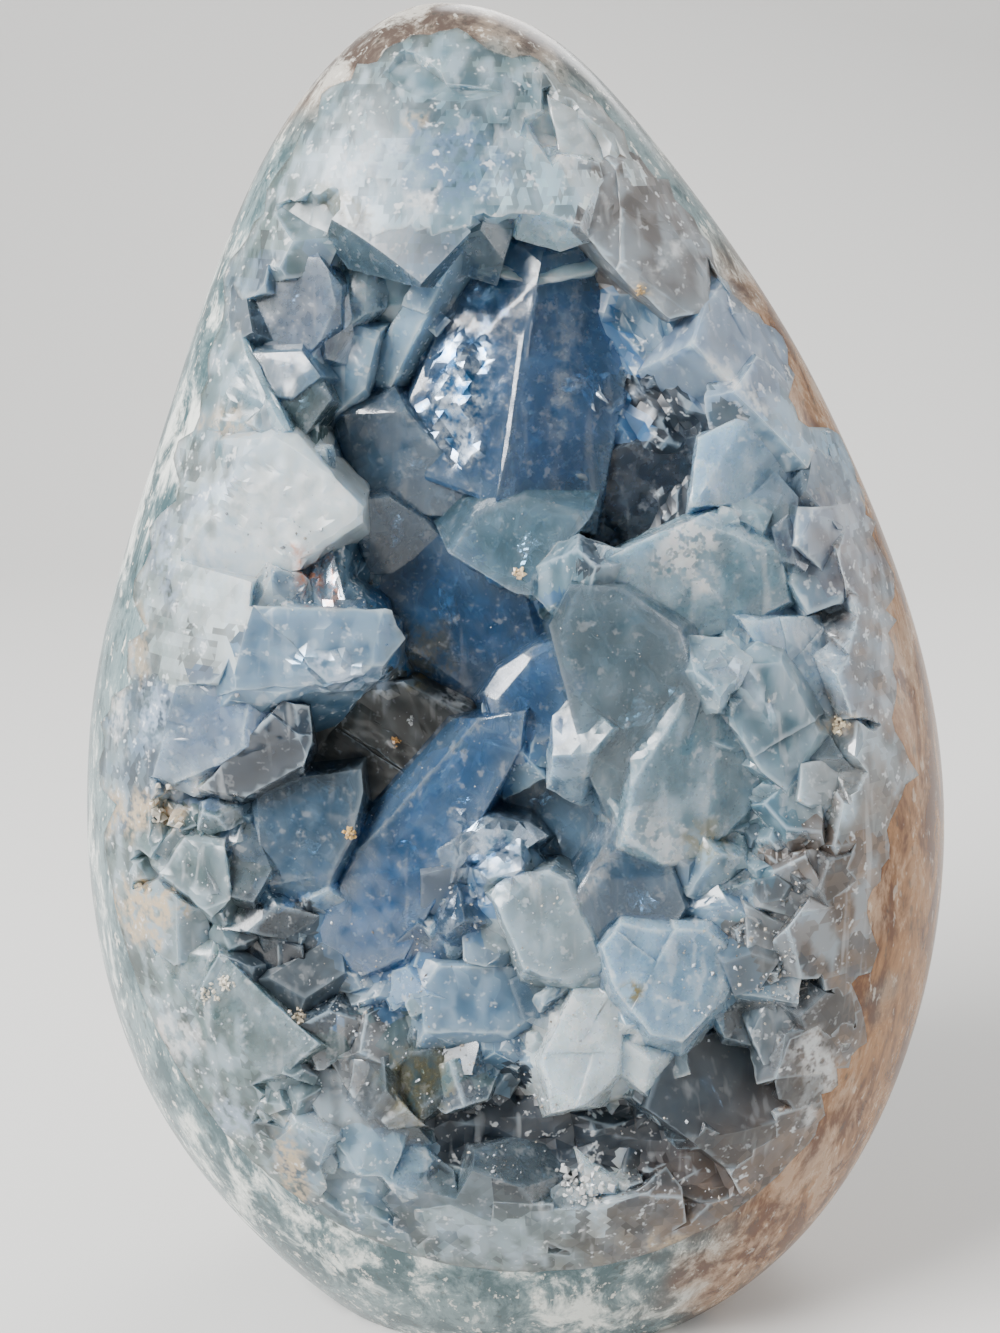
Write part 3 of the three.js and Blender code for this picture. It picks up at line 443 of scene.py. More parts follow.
     [(-0.2, -23.2), (1.3, -21.6), (4.9, -20.8), (7.7, -22.4), (10.4, -29.4), (7.4, -31.2),
      (2.6, -29.8)]),
    ("blue crystal with a pale edge", "steel", 0.2, 0.12, 6, (-0.1, 0.2), (0, 0),
     [(7.8, -23.1), (12.3, -16.2), (16.4, -19), (18.2, -24), (17, -26.2), (10.6, -28.4)]),
    ("pale blue crystal, lower right", "blue", 0.45, 0.25, 3.4, (-0.2, 0), (0, 0),
     [(11, -28.4), (12.9, -25.9), (21.1, -26.2), (23.2, -29), (21.8, -33.2), (18.1, -37), (15.2, -36.4),
      (12.2, -32.5)]),
    ("pale upright slab", "milk", 0.6, 0.25, 3, (-0.15, -0.1), (0, 0),
     [(7.5, -32.8), (11.8, -32.8), (12.1, -36.3), (11.5, -40.6), (8.6, -43.3), (5.7, -43.8),
      (4.4, -39.5)]),
    ("flat bluish druse", "steel", 0.33, 0.3, 7, (0, 0.05), (0, 0),
     [(-7.4, -29.9), (2, -30.4), (4, -34.4), (2, -37.2), (-7, -37.2)]),
    ("dark blue facet, low recess", "ink", 0.33, 0.16, 10.2, (0.3, 0.1), (0, 0),
     [(-5.6, -43.6), (-1.8, -48.9), (-1.2, -53.6), (-4.8, -51), (-6.8, -46)]),
    ("pale tooth", "smoke", 0.5, 0.2, 4, (0.2, 0), (0, 0),
     [(-17, -39.1), (-13.2, -39.6), (-10.4, -43.3), (-8.6, -45.2), (-11.2, -45.8), (-14.6, -43)]),
    ("olive crystal beside it", "olive", 0.25, 0.2, 5.5, (0, -0.1), (0, 0),
     [(-10.5, -38.6), (-6.2, -38.2), (-4.8, -42.4), (-8, -45), (-10, -43)]),
    ("grey-blue crystal, foot", "steel", 0.34, 0.22, 0.5, (0.0, -0.3), (0, 2),
     [(-19.4, -51.4), (-18, -49.2), (-14.2, -49.6), (-9.2, -54.2), (-10.2, -60.4), (-14.2, -60.8),
      (-17, -57.6)]),
    ("small pale crystals, foot", "blue", 0.5, 0.25, 2.4, (-0.15, -0.3), (0, 1),
     [(-14, -48.2), (-11.3, -46.6), (-8.5, -46.9), (-6.5, -49.5), (-8.2, -52.6), (-9.8, -52.9)]),
    ("pale crystal, foot", "pale", 0.6, 0.3, 0.4, (0, -0.6), (0, 2),
     [(-3.3, -58), (0.6, -55.9), (3.5, -56.2), (6.1, -59.4), (1.3, -62), (-2.2, -61.3)]),
    ("pale shard, foot", "pale", 0.6, 0.3, 3, (0, -0.5), (0, 1),
     [(-6.8, -51.8), (-5.4, -51), (-1.3, -54.4), (-4.6, -54.8)]),
    ("grey crystal, foot", "slate", 0.3, 0.25, 4, (0, -0.3), (0, 1),
     [(2, -49), (6, -48.2), (8.6, -51.8), (5, -55.4), (1.4, -53.8)]),
    ("bright chip, foot", "milk", 0.7, 0.25, 2.4, (-0.2, -0.4), (0, 1),
     [(8.3, -49.2), (11.7, -51), (11.3, -52.5), (8.9, -52.4)]),
    ("grey slab, foot", "slate", 0.45, 0.3, 1.4, (-0.3, -0.5), (0, 1),
     [(13.7, -55), (21.1, -53), (22.8, -54), (21.1, -57.2), (16.1, -57.4)]),
    ("dark massive face, lower right", "slate", 0.25, 0.35, 2.8, (-0.35, -0.2), (0, 0),
     [(17, -37.5), (24.7, -36), (29, -36.5), (29.8, -45), (27.5, -49.5), (22, -48.6), (15.5, -44)]),
    ("dark massive face, lower", "ink", 0.25, 0.35, 3.2, (-0.2, -0.35), (0, 0),
     [(14, -45.5), (21, -48.8), (27, -50.5), (26.5, -53.2), (20, -53.2), (13, -50.5)]),
    ("dark crystals, low centre", "ink", 0.33, 0.25, 10.2, (0.1, -0.2), (0, 0),
     [(-1, -44.6), (6, -44.2), (13.6, -45.2), (13.8, -49.4), (8, -49.6), (1, -48.6)]),
    ("brown crystal, right", "brown", 0.4, 0.35, 1.5, (-0.6, -0.1), (0, 0),
     [(29.6, -18.8), (33.2, -17.7), (34.2, -20.9), (31.4, -22.3), (29.3, -20.5)]),
    ("brown crystal, lower right", "smoke", 0.4, 0.35, 2.4, (-0.4, -0.1), (0, 0),
     [(24.7, -24), (29.6, -26.5), (29.6, -29), (25, -28.3)]),
]
print("large crystals:", len(CRYSTALS))

# %% [markdown]
# ## A crystal as a set of flat faces
#
# A crystal is the space behind all its faces, so it is described the way a mineralogist does: each
# face by a direction and a distance. The corners are where three faces meet with no other face in
# front. This gives true flat facets, which pushing points about wouldn't. The front face gets a
# bevel along each edge, some chipped corners, a second slightly tilted growth face, and on milky
# crystals steps where they have cleaved.


# %% Faces, corners and hulls
def unit(vectors):
    """The vectors divided by their lengths."""
    vectors = np.asarray(vectors, float)
    return vectors / np.linalg.norm(vectors, axis=-1, keepdims=True)


def corners_of(directions, distances):
    """Solves direction . point = distance for every three faces at once, and keeps the points that
    lie behind all the others."""
    threes = np.array(list(itertools.combinations(range(len(directions)), 3)))
    systems = directions[threes]
    meets = np.abs(np.linalg.det(systems)) > 1e-4
    points = np.linalg.solve(systems[meets], distances[threes[meets]][..., None])[..., 0]
    behind = (points @ directions.T <= distances + 1e-4).all(axis=1)
    return points[behind]


def faceted_solid(name, directions, distances, kinds, crystal):
    """The closed hull of the corners, whose faces remember their crystal and kind."""
    work = bmesh.new()
    corners = [work.verts.new(corner) for corner in (corners_of(directions, distances) * MM).tolist()]
    bmesh.ops.remove_doubles(work, verts=work.verts, dist=0.02 * MM)
    made = bmesh.ops.convex_hull(work, input=work.verts)
    spare = {item for item in made["geom_interior"] + made["geom_unused"] if item.is_valid
             and isinstance(item, bmesh.types.BMVert)}
    bmesh.ops.delete(work, geom=list(spare), context="VERTS")
    bmesh.ops.dissolve_limit(work, angle_limit=0.004, verts=work.verts, edges=work.edges)
    bmesh.ops.recalc_face_normals(work, faces=work.faces)
    mesh = bpy.data.meshes.new(name)
    work.to_mesh(mesh)
    work.free()
    turned = np.zeros(len(mesh.polygons) * 3)
    mesh.polygons.foreach_get("normal", turned)
    nearest = np.argmax(turned.reshape(-1, 3) @ directions.T, axis=1)
    face_values(mesh, "crystal", crystal)
    face_values(mesh, "kind", np.asarray(kinds)[nearest])
    return bpy.data.objects.new(name, mesh)


# %% How high the large faces stand
LARGE_SPOT = np.array([np.mean(entry[7], axis=0) for entry in CRYSTALS])
LARGE_LEVEL = surface_near(*LARGE_SPOT.T) - [entry[4] for entry in CRYSTALS]
LARGE_SLOPE = np.array([entry[5] for entry in CRYSTALS])
LARGE_SIZE = np.array([np.ptp(entry[7], axis=0).mean() for entry in CRYSTALS])


def within(spots, outline):
    """Whether each spot lies in an outline: a line to the right crosses it an odd number of times."""
    start = np.asarray(outline, float)
    end = np.roll(start, -1, axis=0)
    up = spots[:, None, 1]
    straddles = (start[:, 1] > up) != (end[:, 1] > up)
    rise = np.where(end[:, 1] == start[:, 1], 1, end[:, 1] - start[:, 1])
    crossing = start[:, 0] + (up - start[:, 1]) / rise * (end[:, 0] - start[:, 0])
    return (straddles & (spots[:, None, 0] < crossing)).sum(axis=1) % 2 == 1


def outline_distance(spots, outline):
    """How far each spot is from an outline: the least distance to any of its straight edges."""
    start = np.asarray(outline, float)
    edge = np.roll(start, -1, axis=0) - start
    off = spots[:, None] - start
    along = np.clip((off * edge).sum(-1) / (edge**2).sum(-1), 0, 1)
    return np.linalg.norm(off - along[..., None] * edge, axis=-1).min(axis=1)


def neighbour_level(spots):
    """Mean height of the large faces, each carried on along its own slope and weighted by
    1 / distance^2, so that the nearest ones decide."""
    apart = np.stack([np.where(within(spots, entry[7]), 0, outline_distance(spots, entry[7]))
                      for entry in CRYSTALS], 1)
    weight = 1 / (apart + 0.2) ** 2
    weight *= apart < np.sort(apart, axis=1)[:, [3]]
    off = spots[:, None] - LARGE_SPOT
    reach = np.linalg.norm(off, axis=-1, keepdims=True)
    off = off * np.minimum(1, LARGE_SIZE[None, :, None] / np.maximum(reach, 1e-6))
    level = LARGE_LEVEL + (off * LARGE_SLOPE).sum(-1)
    return (level * weight).sum(axis=1) / weight.sum(axis=1)


# %% Faces of a large crystal
TOP, GROWTH, BEVEL, CHIP, SIDE, BACK, GROUND, WALL, POLISHED = range(9)
ROOT_DEPTH = 10.0                   # how far the root lies behind the front face, in mm
ROOT_SPREAD = 5.0                   # how far the sides run out towards the root, in mm
STEEP_FROM = 0.45                   # a face with more slope than this lies at the edge of the egg,
STEEP_DEPTH = 5.0                   # where a long root would come out of the side of the stone
STEEP_SPREAD = 1.25
CLIFF = 5.0                         # a face this far over its neighbours has the steepest sides
NEIGHBOUR_STEP = 2.5                # how far outside the outline the neighbours' height is read
OVERLAP = 1.10                      # neighbouring faces run into each other by this much
WIDE_BEVELS = 0.22                  # share of the edges with a wide bevel
CHIPPED = 0.3                       # share of the corners that are chipped


def large_crystal(entry, source):
    """Face directions n and distances n . p of one crystal. The front face is the best plane
    through the outline at its depth; each bevel leans between it and a side; each side runs from an
    edge of the outline to the root, and the steeper the higher the face stands over its
    neighbours."""
    depth, (slope_right, slope_up), lean, outline = entry[4:]
    outline = np.array(outline, float)
    outline = outline[convex_hull_2d([tuple(spot) for spot in outline])]
    middle = outline.mean(axis=0)
    off = (outline - middle) * OVERLAP
    outline = middle + off
    level = surface_near(*middle) - depth + off @ [slope_right, slope_up]
    front = sight_point(*outline.T, level)
    reach = np.linalg.norm(off, axis=1, keepdims=True)
    over = level - neighbour_level(outline + off / reach * NEIGHBOUR_STEP)
    steep = math.hypot(slope_right, slope_up) > STEEP_FROM
    spread = STEEP_SPREAD if steep else ROOT_SPREAD
    spread = spread * np.clip(1.3 - over / CLIFF, 0.15, 1)[:, None]
    root_spot = outline + off / reach * spread + lean
    root = sight_point(*root_spot.T, level - (STEEP_DEPTH if steep else ROOT_DEPTH))
    centre = front.mean(axis=0)
    after = np.roll(front, -1, axis=0)
    top = unit(np.cross(front - centre, after - centre).sum(axis=0))
    top = top if top @ NEAR > 0 else -top
    edge = unit(after - front)
    half_way = (front + after) / 2
    outward = np.cross(edge, top)
    outward *= np.sign(np.sum(outward * (half_way - centre), axis=1))[:, None]
    inward_size = np.sqrt(np.linalg.norm(front - centre, axis=1).mean())
    wide = source.random(len(front)) < WIDE_BEVELS
    width = inward_size * np.where(wide, source.uniform(0.15, 0.4, len(front)),
                                   source.uniform(0.02, 0.1, len(front)))
    drop = width * source.uniform(0.5, 1.4, len(front))
    bevel = unit(outward * drop[:, None] + top * width[:, None])
    fall = (root + np.roll(root, -1, axis=0)) / 2 - half_way
    side = unit(np.cross(edge, fall))
    side *= np.sign(np.sum(side * outward, axis=1))[:, None]
    deepest = root[[np.argmin(root @ NEAR)]]
    directions = [top[None], bevel, side, -NEAR[None]]
    through = [centre[None], half_way - outward * width[:, None], half_way, deepest]
    kinds = [TOP] + [BEVEL] * len(front) + [SIDE] * len(front) + [BACK]
    chipped = source.random(len(front)) < CHIPPED
    if chipped.any():
        away = unit(front[chipped] - centre)
        chip = unit(away * source.uniform(0.5, 1.1, (chipped.sum(), 1)) + top)
        size = inward_size * source.uniform(0.08, 0.3, (chipped.sum(), 1))
        directions.append(chip)
        through.append(front[chipped] - chip * size - away * size)
        kinds += [CHIP] * int(chipped.sum())
    turn = source.uniform(0, 2 * math.pi)
    across = math.cos(turn) * edge[0] + math.sin(turn) * np.cross(top, edge[0])
    directions.append(unit(top + source.uniform(0.06, 0.2) * across)[None])
    through.append((centre + across * inward_size * source.uniform(0.1, 1.0))[None])
    kinds.append(GROWTH)
    directions = np.concatenate(directions)
    distances = np.sum(directions * np.concatenate(through), axis=1)
    return directions, distances, np.array(kinds), top, across, centre, inward_size


def cleaved_step(directions, distances, kinds, top, heading, centre, offset, rise):
    """The same crystal with its front faces a little higher, but only on one side of a steep wall."""
    raised = distances + rise * np.isin(kinds, [TOP, GROWTH, BEVEL, CHIP])
    wall = unit(heading + 0.35 * top)
    return (np.concatenate([directions, wall[None]]),
            np.append(raised, wall @ (centre + heading * offset)), np.append(kinds, SIDE))


# %% Grow the large crystals
CLOUDY_FROM = 0.32                  # crystals milkier than this belong to the cloudy growth
source = np.random.default_rng(17)
clear_grown = []
cloudy_grown = []
for number, entry in enumerate(CRYSTALS):
    grown = cloudy_grown if entry[2] >= CLOUDY_FROM else clear_grown
    directions, distances, kinds, top, across, centre, size = large_crystal(entry, source)
    grown.append(faceted_solid(entry[0], directions, distances, kinds, number))
    side_way = np.cross(top, across)
    steps = source.integers(0, 3) if size > 1.9 and grown is cloudy_grown else 0
    for _ in range(steps):
        turn = source.uniform(0, 2 * math.pi)
        heading = math.cos(turn) * across + math.sin(turn) * side_way
        step = cleaved_step(directions, distances, kinds, top, heading, centre,
                            size * source.uniform(-0.2, 1.3), source.uniform(0.1, 0.35))
        grown.append(faceted_solid("step", *step, number))
print("large solids, clear:", len(clear_grown), "cloudy:", len(cloudy_grown))

# %% [markdown]
# ## The ground and its druse
#
# Between the large crystals the wall of the hollow is rough and set with smaller ones. The ground is
# a dented sheet that follows the large faces a little way behind them. The small crystals have
# celestite's own habit: four prism faces, four dome faces and two flat ends. Hundreds are needed, so
# their places, sizes and turns are drawn as whole arrays.

# %% Ground
HOLLOW_DEPTH = 18.0                 # under the polished surface in the middle, in mm
HOLLOW_FLATNESS = 2.4               # more makes the floor flatter and the walls steeper
GROUND_BEHIND = 1.5                 # how far the ground lies behind the large faces, in mm
GROUND_BACK = BOWL_FLOOR - 8        # its back and its skirt lie outside the bowl, which trims them
SKIRT_SIZE = 1.12


def ground_sink(share):
    """Depth under the polished surface: deepest in the middle, just above it at the rim."""
    return HOLLOW_DEPTH * (1 - share**HOLLOW_FLATNESS) - 1


def rim_reach(spots):
    """Distance to the rim in the direction of each spot, read from the rim's own angles."""
    angle = np.arctan2(rim[:, 1], rim[:, 0])
    order = np.argsort(angle)
    return np.interp(np.arctan2(spots[..., 1], spots[..., 0]), angle[order],
                     np.linalg.norm(rim, axis=1)[order], period=2 * math.pi)


share = np.linspace(0, 1, 56)[1:, None, None]
spots = rim[None, ::2] * share
skin_near = surface_near(spots[..., 0], spots[..., 1])
behind = neighbour_level(spots.reshape(-1, 2)).reshape(skin_near.shape) - GROUND_BEHIND
near = np.maximum(skin_near - ground_sink(share[..., 0]), behind)
near = np.minimum(near, skin_near + 1)
near += (0.6 * ripple(spots, 21, 5) + 0.2 * ripple(spots, 22, 2)) * (share[..., 0] < 1)
front_rings = sight_point(spots[..., 0], spots[..., 1], near)
skirt = rim[::2] * SKIRT_SIZE
skirt_rings = np.stack([sight_point(*skirt.T, rim_near[::2] + 1),
                        sight_point(*skirt.T, GROUND_BACK)])
middle_point = sight_point(0, 0, near[0].mean())
ground = solid_piece("cloudy_crystals", *closed_grid(
    middle_point, np.concatenate([front_rings, skirt_rings]), sight_point(0, 0, GROUND_BACK)))
face_values(ground.data, "crystal", -1)
face_values(ground.data, "kind", GROUND)
print("ground faces:", len(ground.data.polygons))

# %% Celestite habit
PRISM_ANGLE = math.radians(38)      # half the angle between the directions of two prism faces
DOME_ANGLE = math.radians(52.1)     # how far a dome face's direction leans from a flat end's


def habit_faces(length, flat=0.55, dome=0.74, prism=0.8):
    """Directions and distances of the prism, dome and flat faces, in units of the crystal's size."""
    signs = np.array([(1, 1), (1, -1), (-1, 1), (-1, -1)], float)
    zero = np.zeros(4)
    prisms = np.stack([signs[:, 0] * math.cos(PRISM_ANGLE), signs[:, 1] * math.sin(PRISM_ANGLE), zero], 1)
    domes = np.stack([zero, signs[:, 0] * math.sin(DOME_ANGLE), signs[:, 1] * math.cos(DOME_ANGLE)], 1)
    flats = np.array([(0, 0, 1), (0, 0, -1.0)])
    distances = [length * prism] * 4 + [dome] * 4 + [flat] * 2
    return np.concatenate([prisms, domes, flats]), np.array(distances)


def random_turns(count, source):
    """Rotation matrices from random quaternions, which favour no direction."""
    w, x, y, z = unit(source.normal(size=(count, 4))).T
    return np.stack([
        np.stack([1 - 2 * (y * y + z * z), 2 * (x * y - z * w), 2 * (x * z + y * w)], -1),
        np.stack([2 * (x * y + z * w), 1 - 2 * (x * x + z * z), 2 * (y * z - x * w)], -1),
        np.stack([2 * (x * z - y * w), 2 * (y * z + x * w), 1 - 2 * (x * x + y * y)], -1)], 1)


# %% Set the smaller crystals
DEEP_FROM = 10                      # faces deeper than this lie in a recess, in mm
CLEAN_REACH = 2.2                   # how far around them no small crystal stands, in mm


def small_places(spacing, source):
    """Spots on a shaken grid inside the rim that no large face covers, and not beside a deep one,
    because the recesses are clean."""
    grid = np.stack(np.meshgrid(np.arange(-42, 44, spacing), np.arange(-66, 64, spacing)), -1)
    places = grid.reshape(-1, 2) + spacing * source.uniform(-0.45, 0.45, (grid.size // 2, 2))
    covered = np.any([within(places, entry[7]) for entry in CRYSTALS], axis=0)
    recess = np.any([outline_distance(places, entry[7]) < CLEAN_REACH for entry in CRYSTALS
                     if entry[4] > DEEP_FROM], axis=0)
    return places[within(places, rim) & ~covered & ~recess]


# spacing, sizes, lift over the neighbours' level, length in sizes, share that is clear
LOTS = [(3.9, (3.2, 5.4), (-3.2, -1.9), (0.8, 1.3), 0.25),
        (2.9, (1.0, 2.2), (-2.3, -1.0), (0.9, 1.8), 0.3)]
source = np.random.default_rng(29)
lot_number = 1000
for spacing, sizes, lift, lengths, clear_share in LOTS:
    places = small_places(spacing, source)
    size = source.uniform(*sizes, len(places))
    near = neighbour_level(places) + source.uniform(*lift, len(places)) - size * 0.4
    share = np.linalg.norm(places, axis=1) / rim_reach(places)
    near = np.maximum(near, surface_near(*places.T) - ground_sink(share))
    centres = sight_point(*places.T, near)
    turns = random_turns(len(places), source)
    clear = source.random(len(places)) < clear_share
    for k, centre in enumerate(centres):
        directions, distances = habit_faces(source.uniform(*lengths))
        turned = directions @ turns[k].T
        distances = distances * size[k] + turned @ centre
        small = faceted_solid("small", turned, distances, [TOP] * len(turned), lot_number)
        (clear_grown if clear[k] else cloudy_grown).append(small)
        lot_number += 1
    print("crystals of", sizes, "mm:", len(places), "clear:", int(clear.sum()))

# %% [markdown]
# ## Two growths, one crust
#
# Crystals that grow into each other are one body. But this crust has water-clear crystals and milky
# ones, and a see-through body can have only one material around its volume. So there are two joined
# bodies that pass through each other: the clear growth and the cloudy growth, which has the ground.
# Each is kept only where it is inside the egg and the hollow. Where the egg cuts a crystal, the cut
# is polished like the skin. The clear growth's cut lies a hair deeper, so no two faces coincide.


# %% Join and trim the two growths
def trimmed(piece, hair):
    """Kept inside the egg and the bowl, both drawn in towards the aim by a hair (a share)."""
    for name, tool, number, face_kind in (("egg", egg_solid("trim_egg", 190, 250), -2, POLISHED),
                                          ("bowl", bowl_solid("trim_bowl", GROWN_IN), -3, WALL)):
        tool.data.transform(Matrix.Translation(AIM * MM * hair) @ Matrix.Scale(1 - hair, 4))
        face_values(tool.data, "crystal", number)
        face_values(tool.data, "kind", face_kind)
        combine(piece, "INTERSECT", [tool])
    return piece


HAIR = 0.0008                       # as a share of the distance from the aim
cloudy = trimmed(combine(ground, "UNION", cloudy_grown), 0.0)
clear = trimmed(combine(clear_grown[0], "UNION", clear_grown[1:]), HAIR)
clear.name = "clear_crystals"
print("cloudy faces:", len(cloudy.data.polygons), "clear faces:", len(clear.data.polygons))

# %% [markdown]
# ## Stains, bruises and glints
#
# Iron has stained some faces yellow and tan, blows have bruised others white, and fresh cleavage
# shines like silver. Each mark is an oval on the view, with its kind, its middle, its half sizes and
# its turn, faded at the edge by ripples. Painting it on the points keeps it on the stone from every
# side.

# %% Marks
# kind, right, up, half width, half height, turn in degrees, strength
MARKS = [
    ("white", 18.8, 10.9, 3.4, 3.2, 0, 1.0), ("white", 16, -17, 5, 2.4, -20, 0.6),
    ("stain", 20, -17.6, 2.6, 2.2, 0, 0.7), ("silver", -4.0, 28.2, 2.9, 7.4, -8, 1.0),
    ("silver", 14, 27.6, 3.4, 0.5, 35, 0.7), ("white", 6.4, 29, 1.4, 8, -8, 0.35),
    ("stain", -7.5, 1.6, 3, 3.4, 0, 0.6), ("white", -5, -3, 2, 0.9, 0, 0.9),
    ("copper", -19.9, 9.0, 0.6, 3.0, 12, 1.0), ("silver", -16.2, -0.6, 5.6, 1.7, -8, 1.0),
    ("white", -29.9, -12, 1.1, 1, 0, 1.0), ("cream", -36, -14.6, 5, 2.2, 0, 0.9),
    ("cream", -35.7, -24.4, 3.7, 3, 0, 1.0), ("silver", -0.5, -18.4, 4.5, 3.2, 20, 1.0),
    ("silver", -5.5, -25.8, 1, 2.5, 0, 0.9), ("white", 10, -20, 0.7, 4.6, -32, 0.9),
    ("stain", 13.5, -32.4, 1.3, 1.2, 0, 1.0), ("white", -33, -37.4, 3, 2, 0, 0.8),
    ("silver", -26.8, -45, 2.3, 1.8, 0, 0.8), ("cream", -20.8, -50.9, 1.5, 5.5, 12, 0.9),
    ("stain", -8.3, -41.7, 3.4, 4.2, 0, 0.7), ("cream", 18.2, -58.6, 3.2, 1.8, 0, 1.0),
    ("white", 31.5, -40.4, 2.5, 4, 0, 0.9), ("cream", -8.5, 54.4, 1.4, 1.2, 0, 0.6),
    ("white", -7.8, 46.6, 1.8, 1.5, 0, 0.7), ("cream", 14, 37.6, 0.9, 0.9, 0, 0.8),
    ("white", 17, 41, 0.6, 2.6, -37, 0.8), ("cream", 37, 17, 1.1, 1, 0, 1.0),
    ("white", 23.2, 28.5, 0.6, 5.3, 45, 0.9), ("white", 4.6, 52.6, 0.9, 4.4, 38, 0.7),
    ("white", 7, -36, 2.6, 2.6, 0, 0.5), ("silver", 24.5, -2, 4, 1.2, -50, 0.6),
    ("cream", 34, -6, 1.6, 1.2, 0, 0.9), ("white", -24, 14, 8, 5, 30, 0.45),
    ("cream", -27, 24.5, 2.4, 1.6, 0, 0.6), ("stain", -15.5, 46, 3.6, 1.4, -40, 0.5),
    ("copper", -18.3, 9.0, 0.5, 3.2, 12, 1.0), ("copper", -16.8, 8.8, 0.5, 3.0, 12, 0.9),
    ("window", -5, 50.3, 6.2, 4.3, -8, 0.8), ("white", -7, 47.5, 2.4, 0.6, 25, 0.8),
    ("silver", -33.5, 12, 1.6, 6, 8, 0.7), ("silver", -34.6, -4.8, 1.5, 3.4, 0, 0.9),
    ("silver", -29, 17, 3, 1.4, 30, 0.6), ("cream", -36, 2, 1, 4, 0, 0.6),
    ("white", -38, -4, 1, 4, 0, 0.7),
]
MARK_COLOURS = {"white": (230, 232, 232), "cream": (212, 190, 158), "stain": (134, 124, 82),
                "copper": (190, 134, 112), "silver": (168, 184, 202), "window": (104, 138, 168)}


def mark_amounts(points, kinds):
    """How strongly marks of these kinds cover each point, and the table's row of the strongest."""
    right, up, near = sight_place(points)
    ragged = ripple(points, 71, 2.2) * 0.28 + ripple(points, 72, 5) * 0.15
    amounts = np.zeros(len(points))
    row = np.zeros(len(points), int)
    for number, (mark, x, y, wide, tall, turn, strength) in enumerate(MARKS):
        if mark not in kinds:
            continue
        c = math.cos(math.radians(turn))
        s = math.sin(math.radians(turn))
        across = ((right - x) * c + (up - y) * s) / wide
        along = ((up - y) * c - (right - x) * s) / tall
        amount = strength * np.clip((1.15 - np.hypot(across, along) + ragged) / 0.45, 0, 1)
        row[amount > amounts] = number
        amounts = np.maximum(amounts, amount)
    return amounts, row


# %% [markdown]
# ## Points for the colours to hang on
#
# A flat crystal face is one big polygon, which can hold only one value. Cut into millimetre
# triangles, the crust can carry colours and stains that fade across a face. The back of the crust,
# against the stone, stays coarse. Real faces are never quite flat either: each point moves a little
# along its normal by a sum of ripples. How far a point stands out from its neighbours is measured
# too: outer edges are worn back, and the material paints them paler, a painted highlight.


# %% Reading a mesh as arrays
def read(collection, key, width=1, kind=np.float32):
    """A whole column of a mesh as an array."""
    values = np.zeros(len(collection) * width, kind)
    collection.foreach_get(key, values)
    return values.reshape(-1, width) if width > 1 else values


def face_numbers(mesh, name):
    """The whole numbers that were stored on the faces under a name."""
    return read(mesh.attributes[name].data, "value", kind=np.int32)


# %% Refine and roughen the crystals
CRINKLE = 0.5                       # how far the folds of silvery cleavage stand out, in mm
OUTER_EDGE = 0.12                   # points that stand out more than this are worn
# longest edge in mm on each kind: top, growth, bevel, chip, side, back, ground, wall, polished
LONGEST = [1.1, 1.1, 1.1, 1.1, 1.8, 4.0, 1.1, 99.0, 1.1]


def refine(mesh):
    """Cuts every edge in half, again and again, until none is longer than its faces' kinds allow.
    Slivers can fold into two triangles on the same three points: such pairs are taken out."""
    work = bmesh.new()
    work.from_mesh(mesh)
    kind = work.faces.layers.int["kind"]
    bmesh.ops.triangulate(work, faces=work.faces)
    for _ in range(6):
        long_edges = [edge for edge in work.edges if edge.calc_length() > MM * min(
            LONGEST[face[kind]] for face in edge.link_faces)]
        if not long_edges:
            break
        bmesh.ops.subdivide_edges(work, edges=long_edges, cuts=1)
        bmesh.ops.triangulate(work, faces=work.faces)
    alike = {}
    for face in work.faces:
        alike.setdefault(frozenset(face.verts), []).append(face)
    folded = [face for faces in alike.values() if len(faces) > 1 for face in faces]
    bmesh.ops.delete(work, geom=folded, context="FACES")
    print("folded slivers taken out:", len(folded))
    work.to_mesh(mesh)
    work.free()


def standing_out(mesh):
    """For each point, how far it lies in front of its neighbours along its normal, as a share of
    the distance to them: above zero on an outer edge, below zero in a corner."""
    points = read(mesh.vertices, "co", 3)
    normals = read(mesh.vertices, "normal", 3)
    ends = read(mesh.edges, "vertices", 2, np.int32)
    step = points[ends[:, 1]] - points[ends[:, 0]]
    length = np.maximum(np.linalg.norm(step, axis=1), 1e-9)
    total = np.zeros(len(points))
    for here, sign in ((ends[:, 0], -1), (ends[:, 1], 1)):
        total += np.bincount(here, sign * np.sum(step * normals[here], axis=1) / length, len(points))
    return total / np.maximum(np.bincount(ends.ravel(), minlength=len(points)), 1)


def roughen(mesh, depth, wear):
    """Moves points along their normals by ripples of a depth, outer edges back by the wear, and
    silvery cleavage out by upright folds, all in mm. Polished and hidden faces stay as they are."""
    out = standing_out(mesh)
    points = read(mesh.vertices, "co", 3) / MM
    silvery = mark_amounts(points, ("silver", "copper"))[0]
    kind = face_numbers(mesh, "kind")
    corners = read(mesh.loops, "vertex_index", kind=np.int32)
    held = np.zeros(len(points), bool)
    held[corners[np.repeat(np.isin(kind, [POLISHED, WALL]), 3)]] = True
    shift = depth * (ripple(points, 61, 3.0) + 0.5 * ripple(points, 62, 1.2))
    shift -= wear * (out > OUTER_EDGE)
    folded = 1 - np.abs(ripple(points * [1, 1, 0.3], 63, 4.2))
    shift += CRINKLE * silvery * folded
    points += read(mesh.vertices, "normal", 3) * np.where(held, 0, shift)[:, None]
    mesh.vertices.foreach_set("co", (points * MM).astype(np.float32).ravel())
    mesh.update()
    return out


def finish_facets(mesh, angle):
    """Smooth where faces turn less than the angle, sharp where a crystal's edge is."""
    mesh.shade_smooth()
    mesh.set_sharp_from_angle(angle=math.radians(angle))


